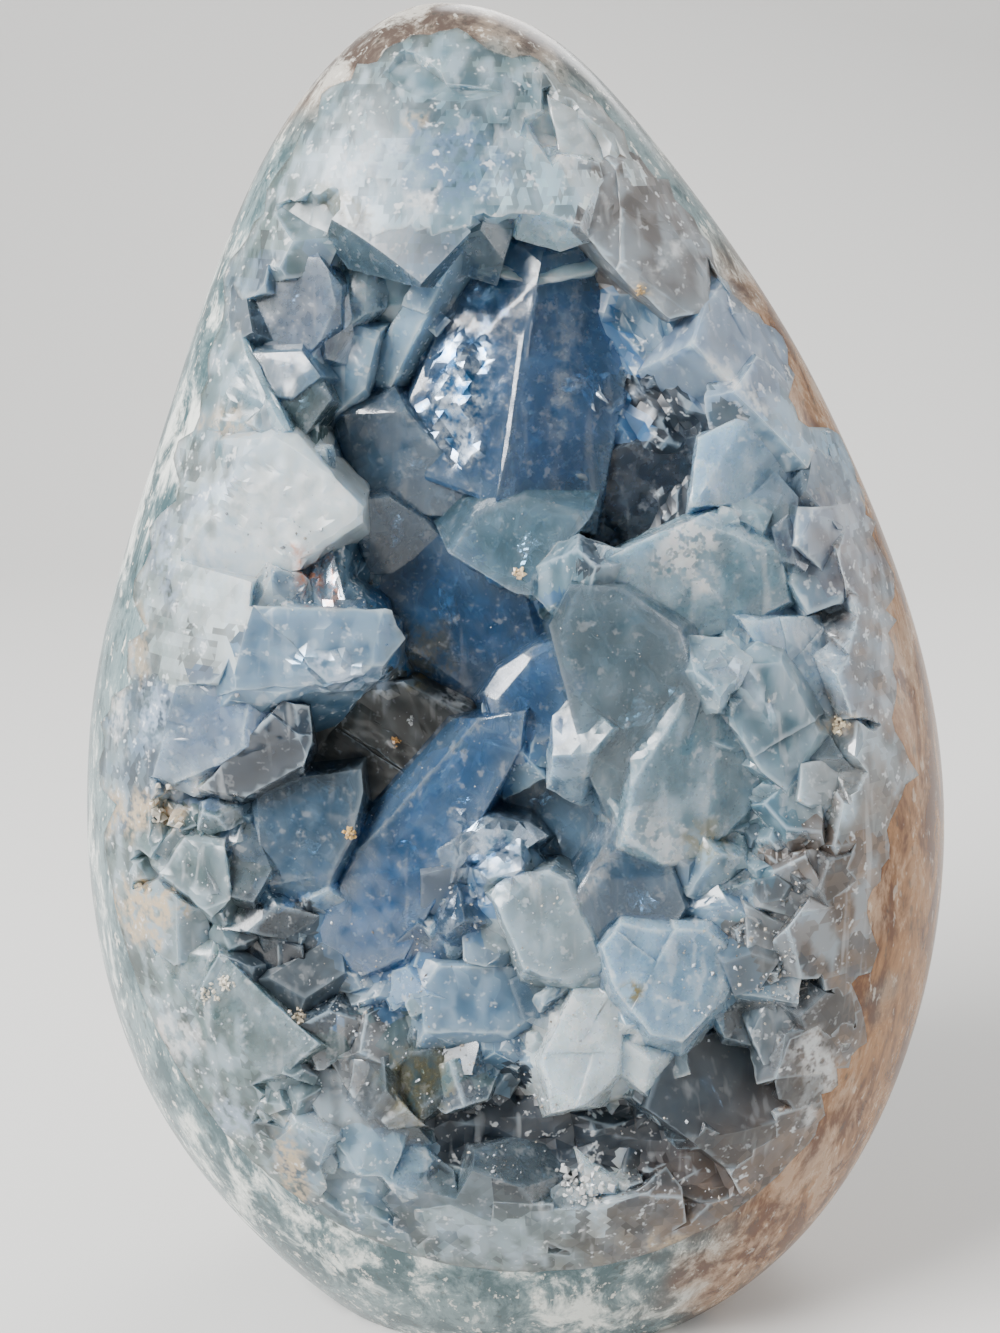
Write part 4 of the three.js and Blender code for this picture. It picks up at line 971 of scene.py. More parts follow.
refine(clear.data)
refine(cloudy.data)
clear_out = roughen(clear.data, 0.02, 0.02)
cloudy_out = roughen(cloudy.data, 0.09, 0.06)
finish_facets(clear.data, 12)
finish_facets(cloudy.data, 16)
finish_facets(matrix.data, 30)
print("triangles, clear:", len(clear.data.polygons), "cloudy:", len(cloudy.data.polygons))

# %% [markdown]
# ## Colours of the crystals
#
# Celestite is blue where it is deep and clear, and pale where it is thin, milky or bruised. Each
# large crystal has a look; the small ones and the ground borrow from their nearest neighbour, and
# near the rim all of them take on the skin's grey-green or tan. The colours are kept as face colours
# on the mesh, which the material reads. An image would tie them to one side, and this doesn't.

# %% Looks
LOOKS = {                           # surface colour of each look, as seen, red green blue of 255
    "aqua": (108, 144, 160), "pale": (138, 158, 166), "green": (84, 122, 138),
    "smoke": (104, 100, 98), "lavender": (104, 130, 160), "blue": (122, 158, 184),
    "olive": (66, 94, 96), "steel": (76, 116, 146), "ink": (18, 36, 54),
    "deep": (52, 112, 162), "milk": (204, 216, 218), "slate": (64, 78, 90),
    # the pale look on the next line is painted light for faces in the crown tablet's shadow, and the
    # near-black last one is painted shade for the wall deep in the left recess
    "brown": (104, 92, 84), "light": (176, 204, 216), "peat": (40, 42, 36),
}
PALER = (146, 166, 178)             # small crystals are thinner, so they turn towards this


def linear(colour):
    """From a colour as seen to the light that it stands for."""
    share = np.asarray(colour, float) / 255
    return np.where(share < 0.04045, share / 12.92, ((share + 0.055) / 1.055) ** 2.4)


def store(mesh, name, values, domain):
    """Keeps an array on the mesh, one colour or number for each face or point."""
    values = np.asarray(values, np.float32)
    if values.ndim == 2:
        layer = mesh.attributes.new(name, "FLOAT_COLOR", domain)
        layer.data.foreach_set("color", np.column_stack([values, np.ones(len(values))]).ravel())
    else:
        mesh.attributes.new(name, "FLOAT", domain).data.foreach_set("value", values)


LARGE_TONE = np.array([linear(LOOKS[entry[1]]) for entry in CRYSTALS])
LARGE_MILK = np.array([entry[2] for entry in CRYSTALS])
LARGE_FROST = np.array([entry[3] for entry in CRYSTALS])
DARK = np.array([entry[1] in ("ink", "peat", "slate") for entry in CRYSTALS])
LARGE_DUST = np.where(DARK, 0.15, 0.45)   # how strongly fine white dust shows
# the paleness along a face's outline is painted light, a glow as if light came in through the thin edge
LARGE_MILK_AND_PAINTED_GLOW = np.where(DARK, 0.25, 1.0)    # how pale the milk and the outline get
# how light each kind of face is, as painted light and shade: sides, backs, walls and ground darker
# as painted shade, growth faces, bevels and chips lighter as a painted highlight, chips also for
# their broken surface: top, growth, bevel, chip, side, back, ground, wall, polished
KIND_PAINTED_LIGHT = np.array([1.0, 1.06, 1.2, 1.25, 0.85, 0.8, 0.95, 0.8, 1.0])


def neighbour(spots, stray):
    """The large crystal that each spot lies nearest to, in units of that crystal's size."""
    moved = spots + stray * np.stack([ripple(spots, 41, 6), ripple(spots, 42, 6)], -1)
    apart = np.linalg.norm(moved[:, None] - LARGE_SPOT, axis=-1) / (LARGE_SIZE + 3)
    return np.argmin(apart, axis=1)


# %% Face colours
MOSAIC_SPACING = 2.0                # size of the cut grains where crystals are polished, in mm
MOSAIC_GRAINS = 120000              # more than the seeds that fill the stone's box
SMALL_COUNT = 3000                  # more than the small crystals
WASH_REACH = 11.0                   # how far in from the rim the skin's colours reach, in mm
RIM_LEFT = (122, 138, 136)
RIM_RIGHT = (136, 106, 78)


def mosaic(points):
    """Which grain each point belongs to: the number of the nearest of many random seeds."""
    shaken = np.random.default_rng(57)
    steps = [np.arange(low, high, MOSAIC_SPACING) for low, high in ((-44, 46), (-32, 4), (0, 131))]
    seeds = np.stack(np.meshgrid(*steps), -1).reshape(-1, 3)
    seeds = seeds + shaken.uniform(-0.5, 0.5, seeds.shape) * MOSAIC_SPACING
    tree = KDTree(len(seeds))
    for number, seed in enumerate(seeds):
        tree.insert(seed, number)
    tree.balance()
    return np.array([tree.find(point)[1] for point in points])


def rim_wash(right, up):
    """How much the crust takes on the skin's colour, from 1 at the rim to 0 at WASH_REACH inside
    it, and that colour: grey-green on the left and tan on the right, but not at the upper right."""
    spots = np.stack([right, up], -1)
    inside = rim_reach(spots) - np.linalg.norm(spots, axis=1)
    wash = np.clip(1 - inside / WASH_REACH, 0, 1) * (0.75 + 0.25 * ripple(spots, 47, 4))
    rightness = np.clip((right - 2) / 16, 0, 1)
    wash *= 1 - rightness * np.clip((up - 12) / 10, 0, 1)
    colour = linear(RIM_LEFT) + (linear(RIM_RIGHT) - linear(RIM_LEFT)) * rightness[:, None]
    return np.clip(wash, 0, 0.95), colour


def paint_faces(mesh):
    """Tone, milk, frost and dust of every face, from its crystal, its kind and its own chance. The kind
    lightens or darkens the tone as painted light and shade. Polished cuts get a mosaic of lighter and
    darker grains."""
    crystal = face_numbers(mesh, "crystal")
    kind = face_numbers(mesh, "kind")
    middles = read(mesh.polygons, "center", 3) / MM
    right, up, near = sight_place(middles)
    beside = neighbour(np.stack([right, up], -1), 1.5)
    own = np.where((crystal >= 0) & (crystal < 1000), crystal, beside)
    small = crystal >= 1000
    chance = np.random.default_rng(53).random((SMALL_COUNT, 3))[np.where(small, crystal - 1000, 0)]
    paleness = np.where(small, 0.2 + 0.5 * chance[:, 0] ** 2, 0)[:, None]
    tone = LARGE_TONE[own] + (linear(PALER) - LARGE_TONE[own]) * paleness
    wash, rim_colour = rim_wash(right, up)
    tone += (rim_colour - tone) * wash[:, None]
    # painted light and shade by kind of face, times a random tone for the small crystals
    tone *= (KIND_PAINTED_LIGHT[kind] * np.where(small, 0.75 + 0.4 * chance[:, 2], 1))[:, None]
    milk = np.where(small, 0.15 + 0.5 * chance[:, 0], LARGE_MILK[own]) * LARGE_MILK_AND_PAINTED_GLOW[own]
    frost = np.where(small, 0.08 + 0.22 * chance[:, 1], LARGE_FROST[own])
    frost = np.where(kind == GROUND, np.maximum(frost, 0.4), frost)
    cut = kind == POLISHED
    middles += 0.8 * np.stack([ripple(middles, seed, 3) for seed in (43, 44, 45)], -1)
    grain = np.random.default_rng(59).random((MOSAIC_GRAINS, 3))[mosaic(middles[cut])]
    tone[cut] *= 0.5 + 0.9 * grain[:, :1]
    milk[cut] *= 0.4 + 1.2 * grain[:, 1]
    frost[cut] = 0.28 + 0.25 * grain[:, 2]
    store(mesh, "tone", np.clip(tone, 0, 0.9), "FACE")
    store(mesh, "milk", np.clip(milk, 0, 1), "FACE")
    store(mesh, "frost", frost, "FACE")
    dust = np.where(small, 0.5, LARGE_DUST[own])
    store(mesh, "dust", np.where(cut | (kind == GROUND), np.maximum(dust, 0.85), dust), "FACE")
    print("faces by kind:", np.bincount(kind, minlength=9).tolist())


paint_faces(clear.data)
paint_faces(cloudy.data)

# %% Colours of the points
# the paleness inside each outline is painted light, a glow through the thin edge
PAINTED_GLOW_REACH = 1.3                    # how far in from its outline a face is paler, in mm


def painted_outline_glow(mesh, points):
    """Painted light, as if it came in through a thin edge: 1 on the outline of a large face, falling
    off as exp(-distance / reach) inside it, and less on dark crystals."""
    corners = read(mesh.loops, "vertex_index", kind=np.int32)
    owner = np.full(len(points), -1)
    owner[corners] = np.repeat(face_numbers(mesh, "crystal"), 3)
    spots = np.stack(sight_place(points)[:2], -1)
    painted_glow = np.zeros(len(points))
    for number, entry in enumerate(CRYSTALS):
        mine = owner == number
        inside = outline_distance(spots[mine], entry[7])
        painted_glow[mine] = LARGE_MILK_AND_PAINTED_GLOW[number] * np.exp(-inside / PAINTED_GLOW_REACH)
    return painted_glow


def paint_points(mesh, out):
    """Mark colour and amount, silver amount, slow clouds, outer edges for a painted highlight, and
    painted light inside the outlines, of every point.
    """
    points = read(mesh.vertices, "co", 3) / MM
    amounts, row = mark_amounts(points, MARK_COLOURS)
    colours = np.array([linear(MARK_COLOURS[mark[0]]) for mark in MARKS])[row]
    cloud = 0.5 + 0.2 * ripple(points, 81, 12) + 0.16 * ripple(points, 82, 4)
    cloud += 0.22 * ripple(points * [1, 1, 0.25], 83, 1.7)
    store(mesh, "mark_colour", colours, "POINT")
    store(mesh, "mark", amounts, "POINT")
    store(mesh, "silver", mark_amounts(points, ("silver", "copper"))[0], "POINT")
    store(mesh, "cloud", np.clip(cloud, 0, 1), "POINT")
    # how far each point stands out, which the material turns into a painted highlight on outer edges
    store(mesh, "edge", np.clip(out * 4, -1, 1), "POINT")
    # painted glow inside the outlines of the large faces
    store(mesh, "painted_glow", painted_outline_glow(mesh, points), "POINT")
    print("points under a mark:", round(float((amounts > 0.5).mean()), 3))


paint_points(clear.data, clear_out)
paint_points(cloudy.data, cloudy_out)

# %% [markdown]
# ## Sugar and crumbs
#
# Between the crystals and along their foot the stone is sugared with tiny ones, and crumbs of cream
# matrix cling here and there. They are placed as dust would fall in the view: along each line of
# sight to the first crystal that it meets. A six-cornered grain with eight faces is enough at this
# size. All the grains are one mesh, worked out as one array of grain, corner and x, y, z.

# %% Where a line of sight meets the crystals
def ray_tree(mesh):
    """The triangles of a mesh, ordered so that a line's first meeting with them is found fast."""
    corners = read(mesh.loops, "vertex_index", kind=np.int32).reshape(-1, 3)
    return BVHTree.FromPolygons(read(mesh.vertices, "co", 3).tolist(), corners.tolist())


TREES = [ray_tree(piece.data) for piece in (clear, cloudy)]
EYE = AIM + EYE_DISTANCE * NEAR


def first_met(spots):
    """Point and normal where each line of sight first meets a crystal, and whether it meets one."""
    aims = unit(sight_point(*spots.T, 0) - EYE)
    points = np.zeros((len(spots), 3))
    normals = np.zeros((len(spots), 3))
    met = np.zeros(len(spots), bool)
    for k, aim in enumerate(aims):
        hits = [tree.ray_cast(Vector(EYE * MM), Vector(aim)) for tree in TREES]
        hits = [hit for hit in hits if hit[0] is not None]
        if hits:
            nearest = min(hits, key=lambda hit: hit[3])
            points[k] = np.array(nearest[0]) / MM
            normals[k] = nearest[1]
            met[k] = True
    return points, normals, met


# %% Scatter the grains
GRAIN_LIFT = 0.25                   # how far a grain's middle stands off the stone, in sizes
GRAIN_CORNERS = np.array([(1, 0, 0.1), (-1, 0.15, 0), (0.1, 0.8, 0), (-0.1, -0.9, 0.1), (0, 0.1, 0.9),
                          (0.1, -0.1, -0.8)])
GRAIN_FACES = np.array([(0, 2, 4), (2, 1, 4), (1, 3, 4), (3, 0, 4), (2, 0, 5), (1, 2, 5), (3, 1, 5),
                        (0, 3, 5)])
# middle right, middle up, half width, half height, turn, share of the sugar
SUGAR_ZONES = [(22, -54, 20, 9, 35, 0.3), (2, -58, 22, 7, 0, 0.16), (28, -30, 11, 12, 0, 0.16),
               (-8, -34, 14, 9, 0, 0.12), (2, -48, 10, 12, 0, 0.08), (-18, 8, 7, 7, 0, 0.04),
               (-28, -22, 12, 16, 0, 0.05), (0, -4, 40, 62, 0, 0.55)]
SUGAR_GRAINS = 7000
SUGAR_SIZE = 0.11                   # half of a typical grain, in mm
DUST_SIZE = 0.05
CLEAN_LOOKS = ("slate", "ink", "deep", "steel")
CLEAN_SHARE = 0.12                  # share of the grains that stay on those looks


def sugar_spots(source):
    """Spots drawn from the zones, each zone a round cloud stretched and turned, with sizes. The last
    zone is the fine dust that lies everywhere."""
    spots = []
    sizes = []
    for zone in SUGAR_ZONES:
        x, y, wide, tall, turn, part = zone
        count = int(SUGAR_GRAINS * part)
        strewn = source.normal(size=(count, 2)) * [wide * 0.55, tall * 0.55]
        c = math.cos(math.radians(turn))
        s = math.sin(math.radians(turn))
        spots.append(strewn @ np.array([[c, s], [-s, c]]) + [x, y])
        typical = DUST_SIZE if zone == SUGAR_ZONES[-1] else SUGAR_SIZE
        sizes.append(typical * np.exp(source.normal(0, 0.45, count)))
    return np.concatenate(spots), np.concatenate(sizes)


# right, up, reach, grains, colour: lumps of matrix and white nodules
LUMPS = [(-36.2, -24.6, 2.2, 150, (214, 200, 172)), (-36.5, -14.6, 3.4, 130, (208, 200, 184)),
         (-21.2, -51, 1.2, 60, (206, 198, 178)), (-19.8, -55.2, 1.6, 70, (212, 200, 176)),
         (18.4, -58.6, 2.4, 110, (206, 182, 150)), (1.8, 9.2, 0.6, 26, (222, 196, 158)),
         (37.2, 17, 0.7, 26, (226, 204, 164)), (33.8, -5.9, 0.8, 26, (222, 206, 176)),
         (-10.4, -7.5, 0.5, 14, (196, 150, 96)), (-15, -16.6, 0.6, 18, (206, 168, 104)),
         (-9, -5.4, 0.3, 8, (226, 228, 228)), (29.8, -37.6, 1.0, 50, (232, 232, 230)),
         (31.4, -40.4, 1.3, 70, (230, 230, 228)), (30.8, -43.2, 0.9, 40, (228, 226, 222)),
         (34.6, -42.8, 0.8, 30, (226, 224, 220)), (-27.4, -31.6, 0.8, 26, (222, 214, 196)),
         (-29, -32.8, 1.0, 26, (216, 208, 190)), (14, 37.6, 0.5, 14, (206, 172, 120)),
         (-20, -35, 1.0, 24, (206, 192, 168)),
         (8, -52, 2.4, 60, (206, 206, 204)), (-3, -62, 3.0, 70, (206, 202, 194))]


def grain_mesh(name, spots, size, colours, source):
    """Grains of a size (mm) at the spots: the corners are stretched, turned and set on the stone."""
    points, normals, met = first_met(spots)
    met &= sight_place(points)[2] + size < surface_near(*spots.T)
    stretch = source.uniform(0.55, 1.3, (met.sum(), 1, 3))
    turned = (GRAIN_CORNERS * stretch) @ random_turns(met.sum(), source)
    lifted = turned + normals[met, None] * GRAIN_LIFT
    corners = points[met, None] + lifted * size[met, None, None]
    faces = GRAIN_FACES + np.arange(met.sum())[:, None, None] * len(GRAIN_CORNERS)
    mesh = bpy.data.meshes.new(name)
    mesh.from_pydata((corners.reshape(-1, 3) * MM).tolist(), [], faces.reshape(-1, 3).tolist())
    store(mesh, "tone", np.repeat(colours[met], len(GRAIN_FACES), axis=0), "FACE")
    piece = bpy.data.objects.new(name, mesh)
    bpy.context.scene.collection.objects.link(piece)
    return piece


source = np.random.default_rng(67)
spots, size = sugar_spots(source)
clusters = ripple(spots, 91, 6) + 0.7 * ripple(spots, 92, 2.5)
dark = np.any([within(spots, entry[7]) for entry in CRYSTALS if entry[1] in CLEAN_LOOKS], axis=0)
kept = (clusters + source.normal(0, 0.5, len(spots)) > 0.0) & within(spots, rim)
kept &= ~dark | (source.random(len(spots)) < CLEAN_SHARE)
spots = spots[kept]
size = size[kept]
lightness = source.uniform(0.2, 0.8, (len(spots), 1))
warm_share = np.clip(0.1 + spots[:, :1] / 90 - spots[:, 1:] / 200, 0.05, 0.5)
warm = source.random((len(spots), 1)) < warm_share
colours = lightness * np.where(warm, [0.86, 0.76, 0.64], [0.80, 0.85, 0.90])
lump_spots = np.concatenate([source.normal(size=(n, 2)) * reach * 0.5 + [x, y]
                             for x, y, reach, n, _ in LUMPS])
lump_size = np.concatenate([np.full(n, 0.16 + 0.1 * reach) for _, _, reach, n, _ in LUMPS])
lump_size *= source.uniform(0.5, 1.4, len(lump_size))
lump_colour = np.concatenate([np.tile(linear(colour), (n, 1)) for *_, n, colour in LUMPS])
lump_colour *= source.uniform(0.75, 1.15, (len(lump_colour), 1))
sugar = grain_mesh("sugar_and_crumbs", np.concatenate([spots, lump_spots]),
                   np.concatenate([size, lump_size]),
                   np.clip(np.concatenate([colours, lump_colour]), 0, 0.92), source)
print("sugar grains:", len(spots), "crumb grains:", len(lump_spots))
print("sugar triangles:", len(sugar.data.polygons))

# %% [markdown]
# ## Cleavage mirrors inside the clear crystals
#
# Clear crystals flash from inside, where cleavage has opened thin gaps that throw the light back like
# foil. Each is a closed lens under the front face: a ragged disc, thickest in the middle, crumpled by
# ripples. A shiny grey metal comes nearest to that total reflection.

# %% Cleavage mirrors
MIRRORS_EACH = 2
MIRROR_RINGS = 5
MIRROR_COLUMNS = 18
MIRROR_HALF = 0.02                  # half the thickness of a lens, as a share of its radius
LEAST_HOST = 5                      # smaller crystals have no mirrors, in mm


def mirror_lens(source):
    """Rings of a lens of radius 1 in its own plane: the radius grows to the edge and back, and the
    height is the thickness (1 - radius^2) on either side plus a crumpling that both sides share."""
    share = np.linspace(0, 1, MIRROR_RINGS + 1)[1:]
    share = np.concatenate([share, share[-2::-1]])
    side = np.concatenate([np.ones(MIRROR_RINGS), -np.ones(MIRROR_RINGS - 1)])
    angle = np.linspace(0, 2 * math.pi, MIRROR_COLUMNS, endpoint=False)
    circle = np.stack([np.cos(angle), np.sin(angle)], -1)
    ragged = 1 + 0.4 * ripple(circle, source.integers(1e6), 1.0)
    flat = share[:, None, None] * np.clip(ragged, 0.3, 2)[:, None] * circle * [1.0, 0.5]
    crumple = 0.06 * ripple(flat, source.integers(1e6), 0.5)
    height = side[:, None] * MIRROR_HALF * (1 - share[:, None] ** 2) + crumple
    middle = crumple[0].mean()
    return closed_grid((0, 0, middle + MIRROR_HALF), np.concatenate([flat, height[..., None]], -1),
                       (0, 0, middle - MIRROR_HALF))


source = np.random.default_rng(83)
mirror_corners = []
mirror_faces = []
for number, entry in enumerate(CRYSTALS):
    if entry[2] >= CLOUDY_FROM or LARGE_SIZE[number] < LEAST_HOST:
        continue
    outline = np.array(entry[7], float)
    middle = outline.mean(axis=0)
    for _ in range(MIRRORS_EACH):
        spot = middle + (outline[source.integers(len(outline))] - middle) * source.uniform(0, 0.5)
        room = outline_distance(spot[None], outline)[0]
        level = LARGE_LEVEL[number] + (spot - LARGE_SPOT[number]) @ LARGE_SLOPE[number]
        reach = min(LARGE_SIZE[number] * source.uniform(0.08, 0.2), 0.6 * room)
        points, faces = mirror_lens(source)
        facing = unit(NEAR + source.normal(0, 0.3, 3))
        along = unit(np.cross(facing, source.normal(size=3)))
        axes = np.stack([along, np.cross(facing, along), facing])
        place = sight_point(*spot, level - source.uniform(0.6, 1.6) - 0.3 * reach)
        first = len(mirror_corners) * len(points)
        mirror_corners.append(points * reach @ axes + place)
        mirror_faces += [[first + corner for corner in face] for face in faces]
mirrors = solid_piece("cleavage_mirrors", np.concatenate(mirror_corners), mirror_faces)
bpy.context.scene.collection.objects.link(mirrors)
finish_facets(mirrors.data, 8)
print("cleavage mirrors:", len(mirror_corners), "faces:", len(mirrors.data.polygons))


# %% [markdown]
# ## Building materials with nodes
#
# A few small helpers keep the node trees readable: one adds a node and links or sets its inputs, one
# maps a signal to a smooth mask, and one mixes two colours by a mask.


# %% Node helpers
class Finish:
    """A material under construction."""

    def __init__(self, name):
        self.material = bpy.data.materials.new(name)
        self.material.use_nodes = True
        self.tree = self.material.node_tree
        self.shader = self.tree.nodes["Principled BSDF"]
        self.place = self.add("ShaderNodeTexCoord").outputs["Object"]

    def add(self, kind, inputs=(), **settings):
        """A node; a plain input is set and a socket is linked."""
        node = self.tree.nodes.new(kind)
        for key, value in settings.items():
            setattr(node, key, value)
        for key, value in dict(inputs).items():
            if isinstance(value, bpy.types.NodeSocket):
                self.tree.links.new(value, node.inputs[key])
            else:
                node.inputs[key].default_value = value
        return node

    def painted(self, name):
        """The number that was stored on the mesh under a name."""
        return self.add("ShaderNodeAttribute", attribute_name=name).outputs["Fac"]

    def colour_of(self, name):
        """The colour that was stored on the mesh under a name."""
        return self.add("ShaderNodeAttribute", attribute_name=name).outputs["Color"]

    def noise(self, scale, detail, roughness, distortion=0.0, at=None):
        """Smooth random signal, with scale in features per metre."""
        return self.add("ShaderNodeTexNoise", {
            "Vector": at or self.place, "Scale": scale, "Detail": detail, "Roughness": roughness,
            "Distortion": distortion}, noise_type="FBM", normalize=True).outputs["Fac"]

    def mask(self, signal, low, high):
        """0 below low, 1 above high and smooth between."""
        return self.add("ShaderNodeMapRange", {"Value": signal, "From Min": low, "From Max": high},
                        interpolation_type="SMOOTHSTEP").outputs["Result"]

    def math(self, how, first, second, clamp=False):
        """ADD, MULTIPLY or MAXIMUM of two signals."""
        return self.add("ShaderNodeMath", {0: first, 1: second}, operation=how,
                        use_clamp=clamp).outputs[0]

    def blend(self, signal, gain, base):
        """signal times gain plus base."""
        return self.add("ShaderNodeMath", {0: signal, 1: gain, 2: base},
                        operation="MULTIPLY_ADD").outputs[0]

    def mix(self, factor, first, second, how="MIX"):
        """first where the factor is 0, second where it is 1."""
        node = self.add("ShaderNodeMix", data_type="RGBA", blend_type=how)
        for socket, value in zip((node.inputs[0], node.inputs[6], node.inputs[7]),
                                 (factor, first, second)):
            if isinstance(value, bpy.types.NodeSocket):
                self.tree.links.new(value, socket)
            elif isinstance(value, (int, float)):
                socket.default_value = value
            else:
                socket.default_value = (*value, 1)
        return node.outputs[2]

    def stretched(self, upward):
        """Places that pass more slowly upwards, so that a pattern on them is drawn out tall."""
        return self.add("ShaderNodeVectorMath", {0: self.place, 1: (1.0, 1.0, upward)},
                        operation="MULTIPLY").outputs[0]

    def shade(self, **inputs):
        """Sets or links the shader's own sockets."""
        for key, value in inputs.items():
            socket = self.shader.inputs[key.replace("_", " ")]
            if isinstance(value, bpy.types.NodeSocket):
                self.tree.links.new(value, socket)
            else:
                socket.default_value = value


# %% [markdown]
# ## Clear and cloudy celestite
#
# The crystals are see-through with a blue body colour that deepens with thickness. Glass alone would
# look like ice, because real crystals are clouded by veils and dusted with fine druse. So part of
# the light passes (transmission, with celestite's index of refraction and a blue absorption in the
# volume) and the rest is scattered by a surface colour that carries clouds, dust and marks. The two
# growths share one recipe and differ in how much light passes.


# %% Crystal material
MILK_WHITE = linear((192, 210, 222))
DUST_WHITE = linear((236, 240, 242))
CELESTITE_IOR = 1.62


def celestite(name, passes, scatters, body_colour=None, density=0.0):
    """The recipe: what share of light passes, what share of the rest goes in and scatters, and the
    colour that a clear body lets through."""
    finish = Finish(name)
    milk, frost, dust, cloud, edge, painted_glow, mark, silver = (finish.painted(name) for name in (
        "milk", "frost", "dust", "cloud", "edge", "painted_glow", "mark", "silver"))
    fine = finish.noise(900, 2, 0.7)
    shade = finish.blend(cloud, 0.5, 0.72)
    varied = finish.mix(1.0, finish.colour_of("tone"), finish.add("ShaderNodeCombineColor", {
        "Red": shade, "Green": shade, "Blue": shade}).outputs[0], "MULTIPLY")
    milky = finish.math("MULTIPLY", finish.mask(cloud, 0.35, 0.85), milk, True)
    # painted highlight on outer edges and painted glow inside outlines, which with the real milkiness
    # pale the tone towards milk white
    painted_edge_light = finish.math("ADD", finish.math("MULTIPLY", finish.mask(edge, 0.25, 0.9), 0.5),
                            finish.math("MULTIPLY", painted_glow, 0.38), True)
    clouded_and_edge_lit = finish.mix(finish.math("MAXIMUM", milky, painted_edge_light), varied, MILK_WHITE)
    patchy = finish.math("MULTIPLY", mark, finish.mask(fine, 0.36, 0.56), True)
    marked = finish.mix(patchy, clouded_and_edge_lit, finish.colour_of("mark_colour"))
    growth = finish.noise(620, 2, 0.6, at=finish.stretched(0.1))
    lines = finish.math("MULTIPLY", finish.mask(growth, 0.60, 0.72), 0.3)
    specks = finish.math("MULTIPLY", finish.mask(fine, 0.60, 0.70), dust)
    dusted = finish.mix(finish.math("MAXIMUM", specks, lines), marked, DUST_WHITE)
    uneven = finish.math("MULTIPLY", finish.mask(fine, 0.4, 0.7), 0.12)
    rough = finish.math("ADD", frost, finish.blend(silver, 0.08, uneven), True)
    finish.shade(Base_Color=dusted, Roughness=rough, IOR=CELESTITE_IOR, Transmission_Weight=passes,
                 Metallic=finish.math("MULTIPLY", silver, 0.75), Subsurface_Weight=scatters,
                 Subsurface_Radius=(0.8, 1.0, 1.2), Subsurface_Scale=0.003)
    if body_colour is not None:
        body = finish.add("ShaderNodeVolumeAbsorption", {"Color": (*body_colour, 1), "Density": density})
        finish.tree.links.new(body.outputs[0], finish.tree.nodes["Material Output"].inputs["Volume"])
    return finish.material


clear.data.materials.clear()
clear.data.materials.append(celestite("clear_celestite", 0.82, 0.0, (0.30, 0.58, 0.82), 100.0))
cloudy.data.materials.clear()
cloudy.data.materials.append(celestite("cloudy_celestite", 0.45, 1.0))

# %% Sugar and mirror materials
grit = Finish("sugar_celestite")
grit.shade(Base_Color=grit.colour_of("tone"), Roughness=0.35, IOR=CELESTITE_IOR,
           Transmission_Weight=0.25)
sugar.data.materials.append(grit.material)
sheen = Finish("cleavage_mirror")
sheen.shade(Base_Color=(0.62, 0.70, 0.78, 1), Roughness=0.22, Metallic=0.9)
mirrors.data.materials.append(sheen.material)

# %% [markdown]
# ## The polished skin
#
# Polishing cuts straight through massive celestite, so the skin is mottled: grey-green and grey-blue
# with white patches on the left, tan and brown on the right and at the crown, under a soft gloss. It
# could be painted by hand, but noise at three sizes does it for every side at once. The slow one
# says where the stone is pale, the middle one draws patches a little taller than wide, and the fine
# one scatters pale specks and dark pits.

# %% Skin material
skin = Finish("polished_celestite")
spread = skin.add("ShaderNodeSeparateXYZ", {"Vector": skin.place})
tall = skin.stretched(0.45)
slow = skin.noise(60, 3, 0.6)
middle = skin.noise(260, 5, 0.72, 0.4, at=tall)
fine = skin.noise(1000, 3, 0.65, at=tall)
cool = skin.mix(skin.mask(middle, 0.38, 0.56), linear((60, 80, 84)), linear((110, 128, 130)))
tan = skin.mix(skin.mask(middle, 0.40, 0.58), linear((84, 50, 26)), linear((142, 102, 64)))
wobble = skin.blend(slow, 0.06, -0.03)
brown_side = skin.mask(skin.math("ADD", spread.outputs["X"], wobble), 0.012, 0.030)
crown = skin.mask(skin.math("ADD", spread.outputs["Z"], wobble), 0.108, 0.128)
brown = skin.math("MAXIMUM", brown_side, skin.math("MULTIPLY", crown, 0.6))
coloured = skin.mix(brown, cool, tan)
pale = skin.mask(skin.blend(slow, 0.5, skin.math("MULTIPLY", middle, 0.75)), 0.63, 0.76)
patches = skin.math("MULTIPLY", pale, skin.blend(brown, -0.72, 0.85))
specks = skin.math("MULTIPLY", skin.mask(fine, 0.60, 0.68), skin.blend(brown, -0.45, 0.7))
pits = skin.math("MULTIPLY", skin.mask(fine, 0.40, 0.32), 0.5)
for amount, colour in ((patches, (220, 222, 214)), (specks, (226, 222, 210)),
                       (pits, (52, 54, 50))):
    coloured = skin.mix(amount, coloured, linear(colour))
skin.shade(Base_Color=coloured, Roughness=skin.blend(middle, 0.3, 0.1), IOR=1.5,
           Specular_IOR_Level=0.25)
matrix.data.materials.clear()
matrix.data.materials.append(skin.material)
print("materials:", [material.name for material in bpy.data.materials])

# %% Ride on the frame
for piece, node, slot in ((matrix, "polished_matrix", "matrix"), (clear, "crystal_crust", "crystal"),
                          (cloudy, "crystal_crust", "crystal"), (sugar, "crystal_crust", "crystal"),
                          (mirrors, "crystal_crust", "crystal")):
    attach(piece, "root")
    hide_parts(node)

# %% [markdown]
# ## Floor, light and camera
#
# A pale sweep carries the stone: a floor that curves up into a wall, so there is no hard horizon. A
# large soft light from the upper left and front stands for a window, a weak one opens the shadow on
# the right, and the camera stands on the line of sight that the crystals were laid out along.

# %% Floor sweep
def sweep_profile(count):
    """Out along the floor, round a quarter circle and up, as depth and height in mm."""
    turn = np.linspace(0, math.pi / 2, count)
    depth = np.concatenate([[-900], 350 + 300 * np.sin(turn), [650]])
    height = np.concatenate([[0], 300 - 300 * np.cos(turn), [1500]])
    return depth, height


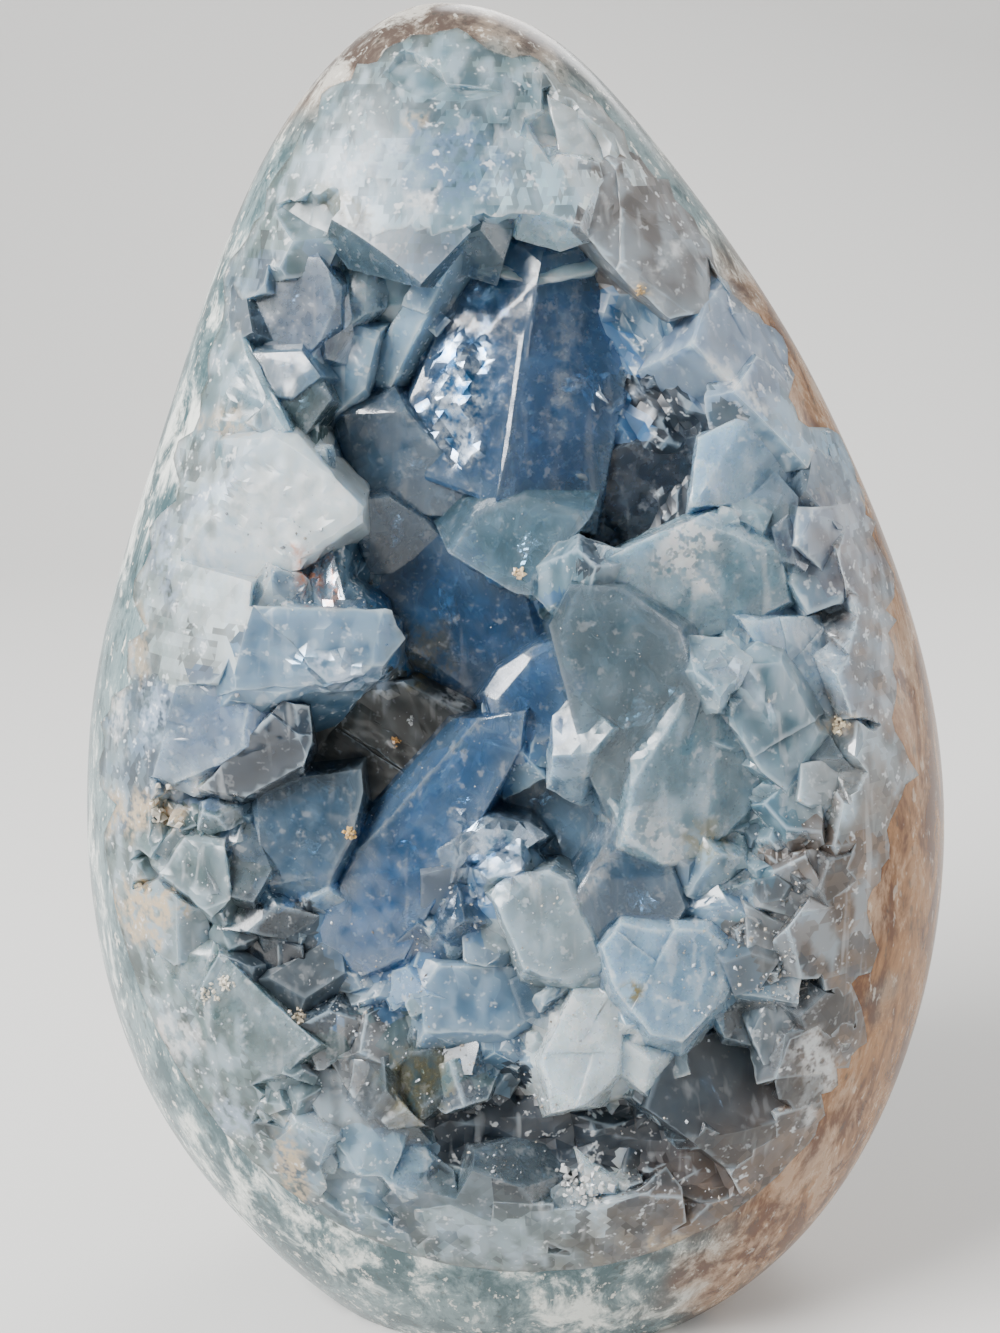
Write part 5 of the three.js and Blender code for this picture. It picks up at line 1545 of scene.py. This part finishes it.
depth, height = sweep_profile(32)
across = np.linspace(-1500, 1500, 9)
grid = np.stack(np.broadcast_arrays(across[None, :], depth[:, None], height[:, None]), -1)
index = np.arange(grid.shape[0] * grid.shape[1]).reshape(grid.shape[:2])
quads = np.stack([index[:-1, :-1], index[:-1, 1:], index[1:, 1:], index[1:, :-1]], -1).reshape(-1, 4)
floor_mesh = bpy.data.meshes.new("floor_sweep")
floor_mesh.from_pydata((grid.reshape(-1, 3) * MM).tolist(), [], quads.tolist())
floor_mesh.shade_smooth()
floor = bpy.data.objects.new("floor_sweep", floor_mesh)
bpy.context.scene.collection.objects.link(floor)
paper = Finish("pale_paper")
paper.shade(Base_Color=(0.62, 0.61, 0.59, 1), Roughness=0.8)
floor_mesh.materials.append(paper.material)


# %% Lights
def soft_light(name, place, width, power, colour=(1, 1, 1)):
    """A square lamp at a place in mm that looks at the stone."""
    lamp = bpy.data.lights.new(name, "AREA")
    lamp.shape = "SQUARE"
    lamp.size = width * MM
    lamp.energy = power
    lamp.color = colour
    holder = bpy.data.objects.new(name, lamp)
    bpy.context.scene.collection.objects.link(holder)
    holder.location = np.array(place) * MM
    aim = Vector(AIM * MM) - holder.location
    holder.rotation_euler = aim.to_track_quat("-Z", "Y").to_euler()


soft_light("window", (-400, -290, 430), 330, 13.0)
soft_light("fill", (500, 0, 200), 600, 3.8)
soft_light("back", (120, 380, 420), 300, 2.0)
world = bpy.data.worlds.new("room")
world.use_nodes = True
world.node_tree.nodes["Background"].inputs["Color"].default_value = (0.9, 0.95, 1.0, 1)
world.node_tree.nodes["Background"].inputs["Strength"].default_value = 0.32
bpy.context.scene.world = world

# %% Camera
lens = bpy.data.cameras.new("camera")
lens.lens = 54.09
lens.clip_start = 0.01
camera = bpy.data.objects.new("camera", lens)
bpy.context.scene.collection.objects.link(camera)
camera.location = (AIM + EYE_DISTANCE * NEAR) * MM
camera.rotation_euler = (math.pi / 2 - SIGHT_RISE, 0, 0)
bpy.context.scene.camera = camera
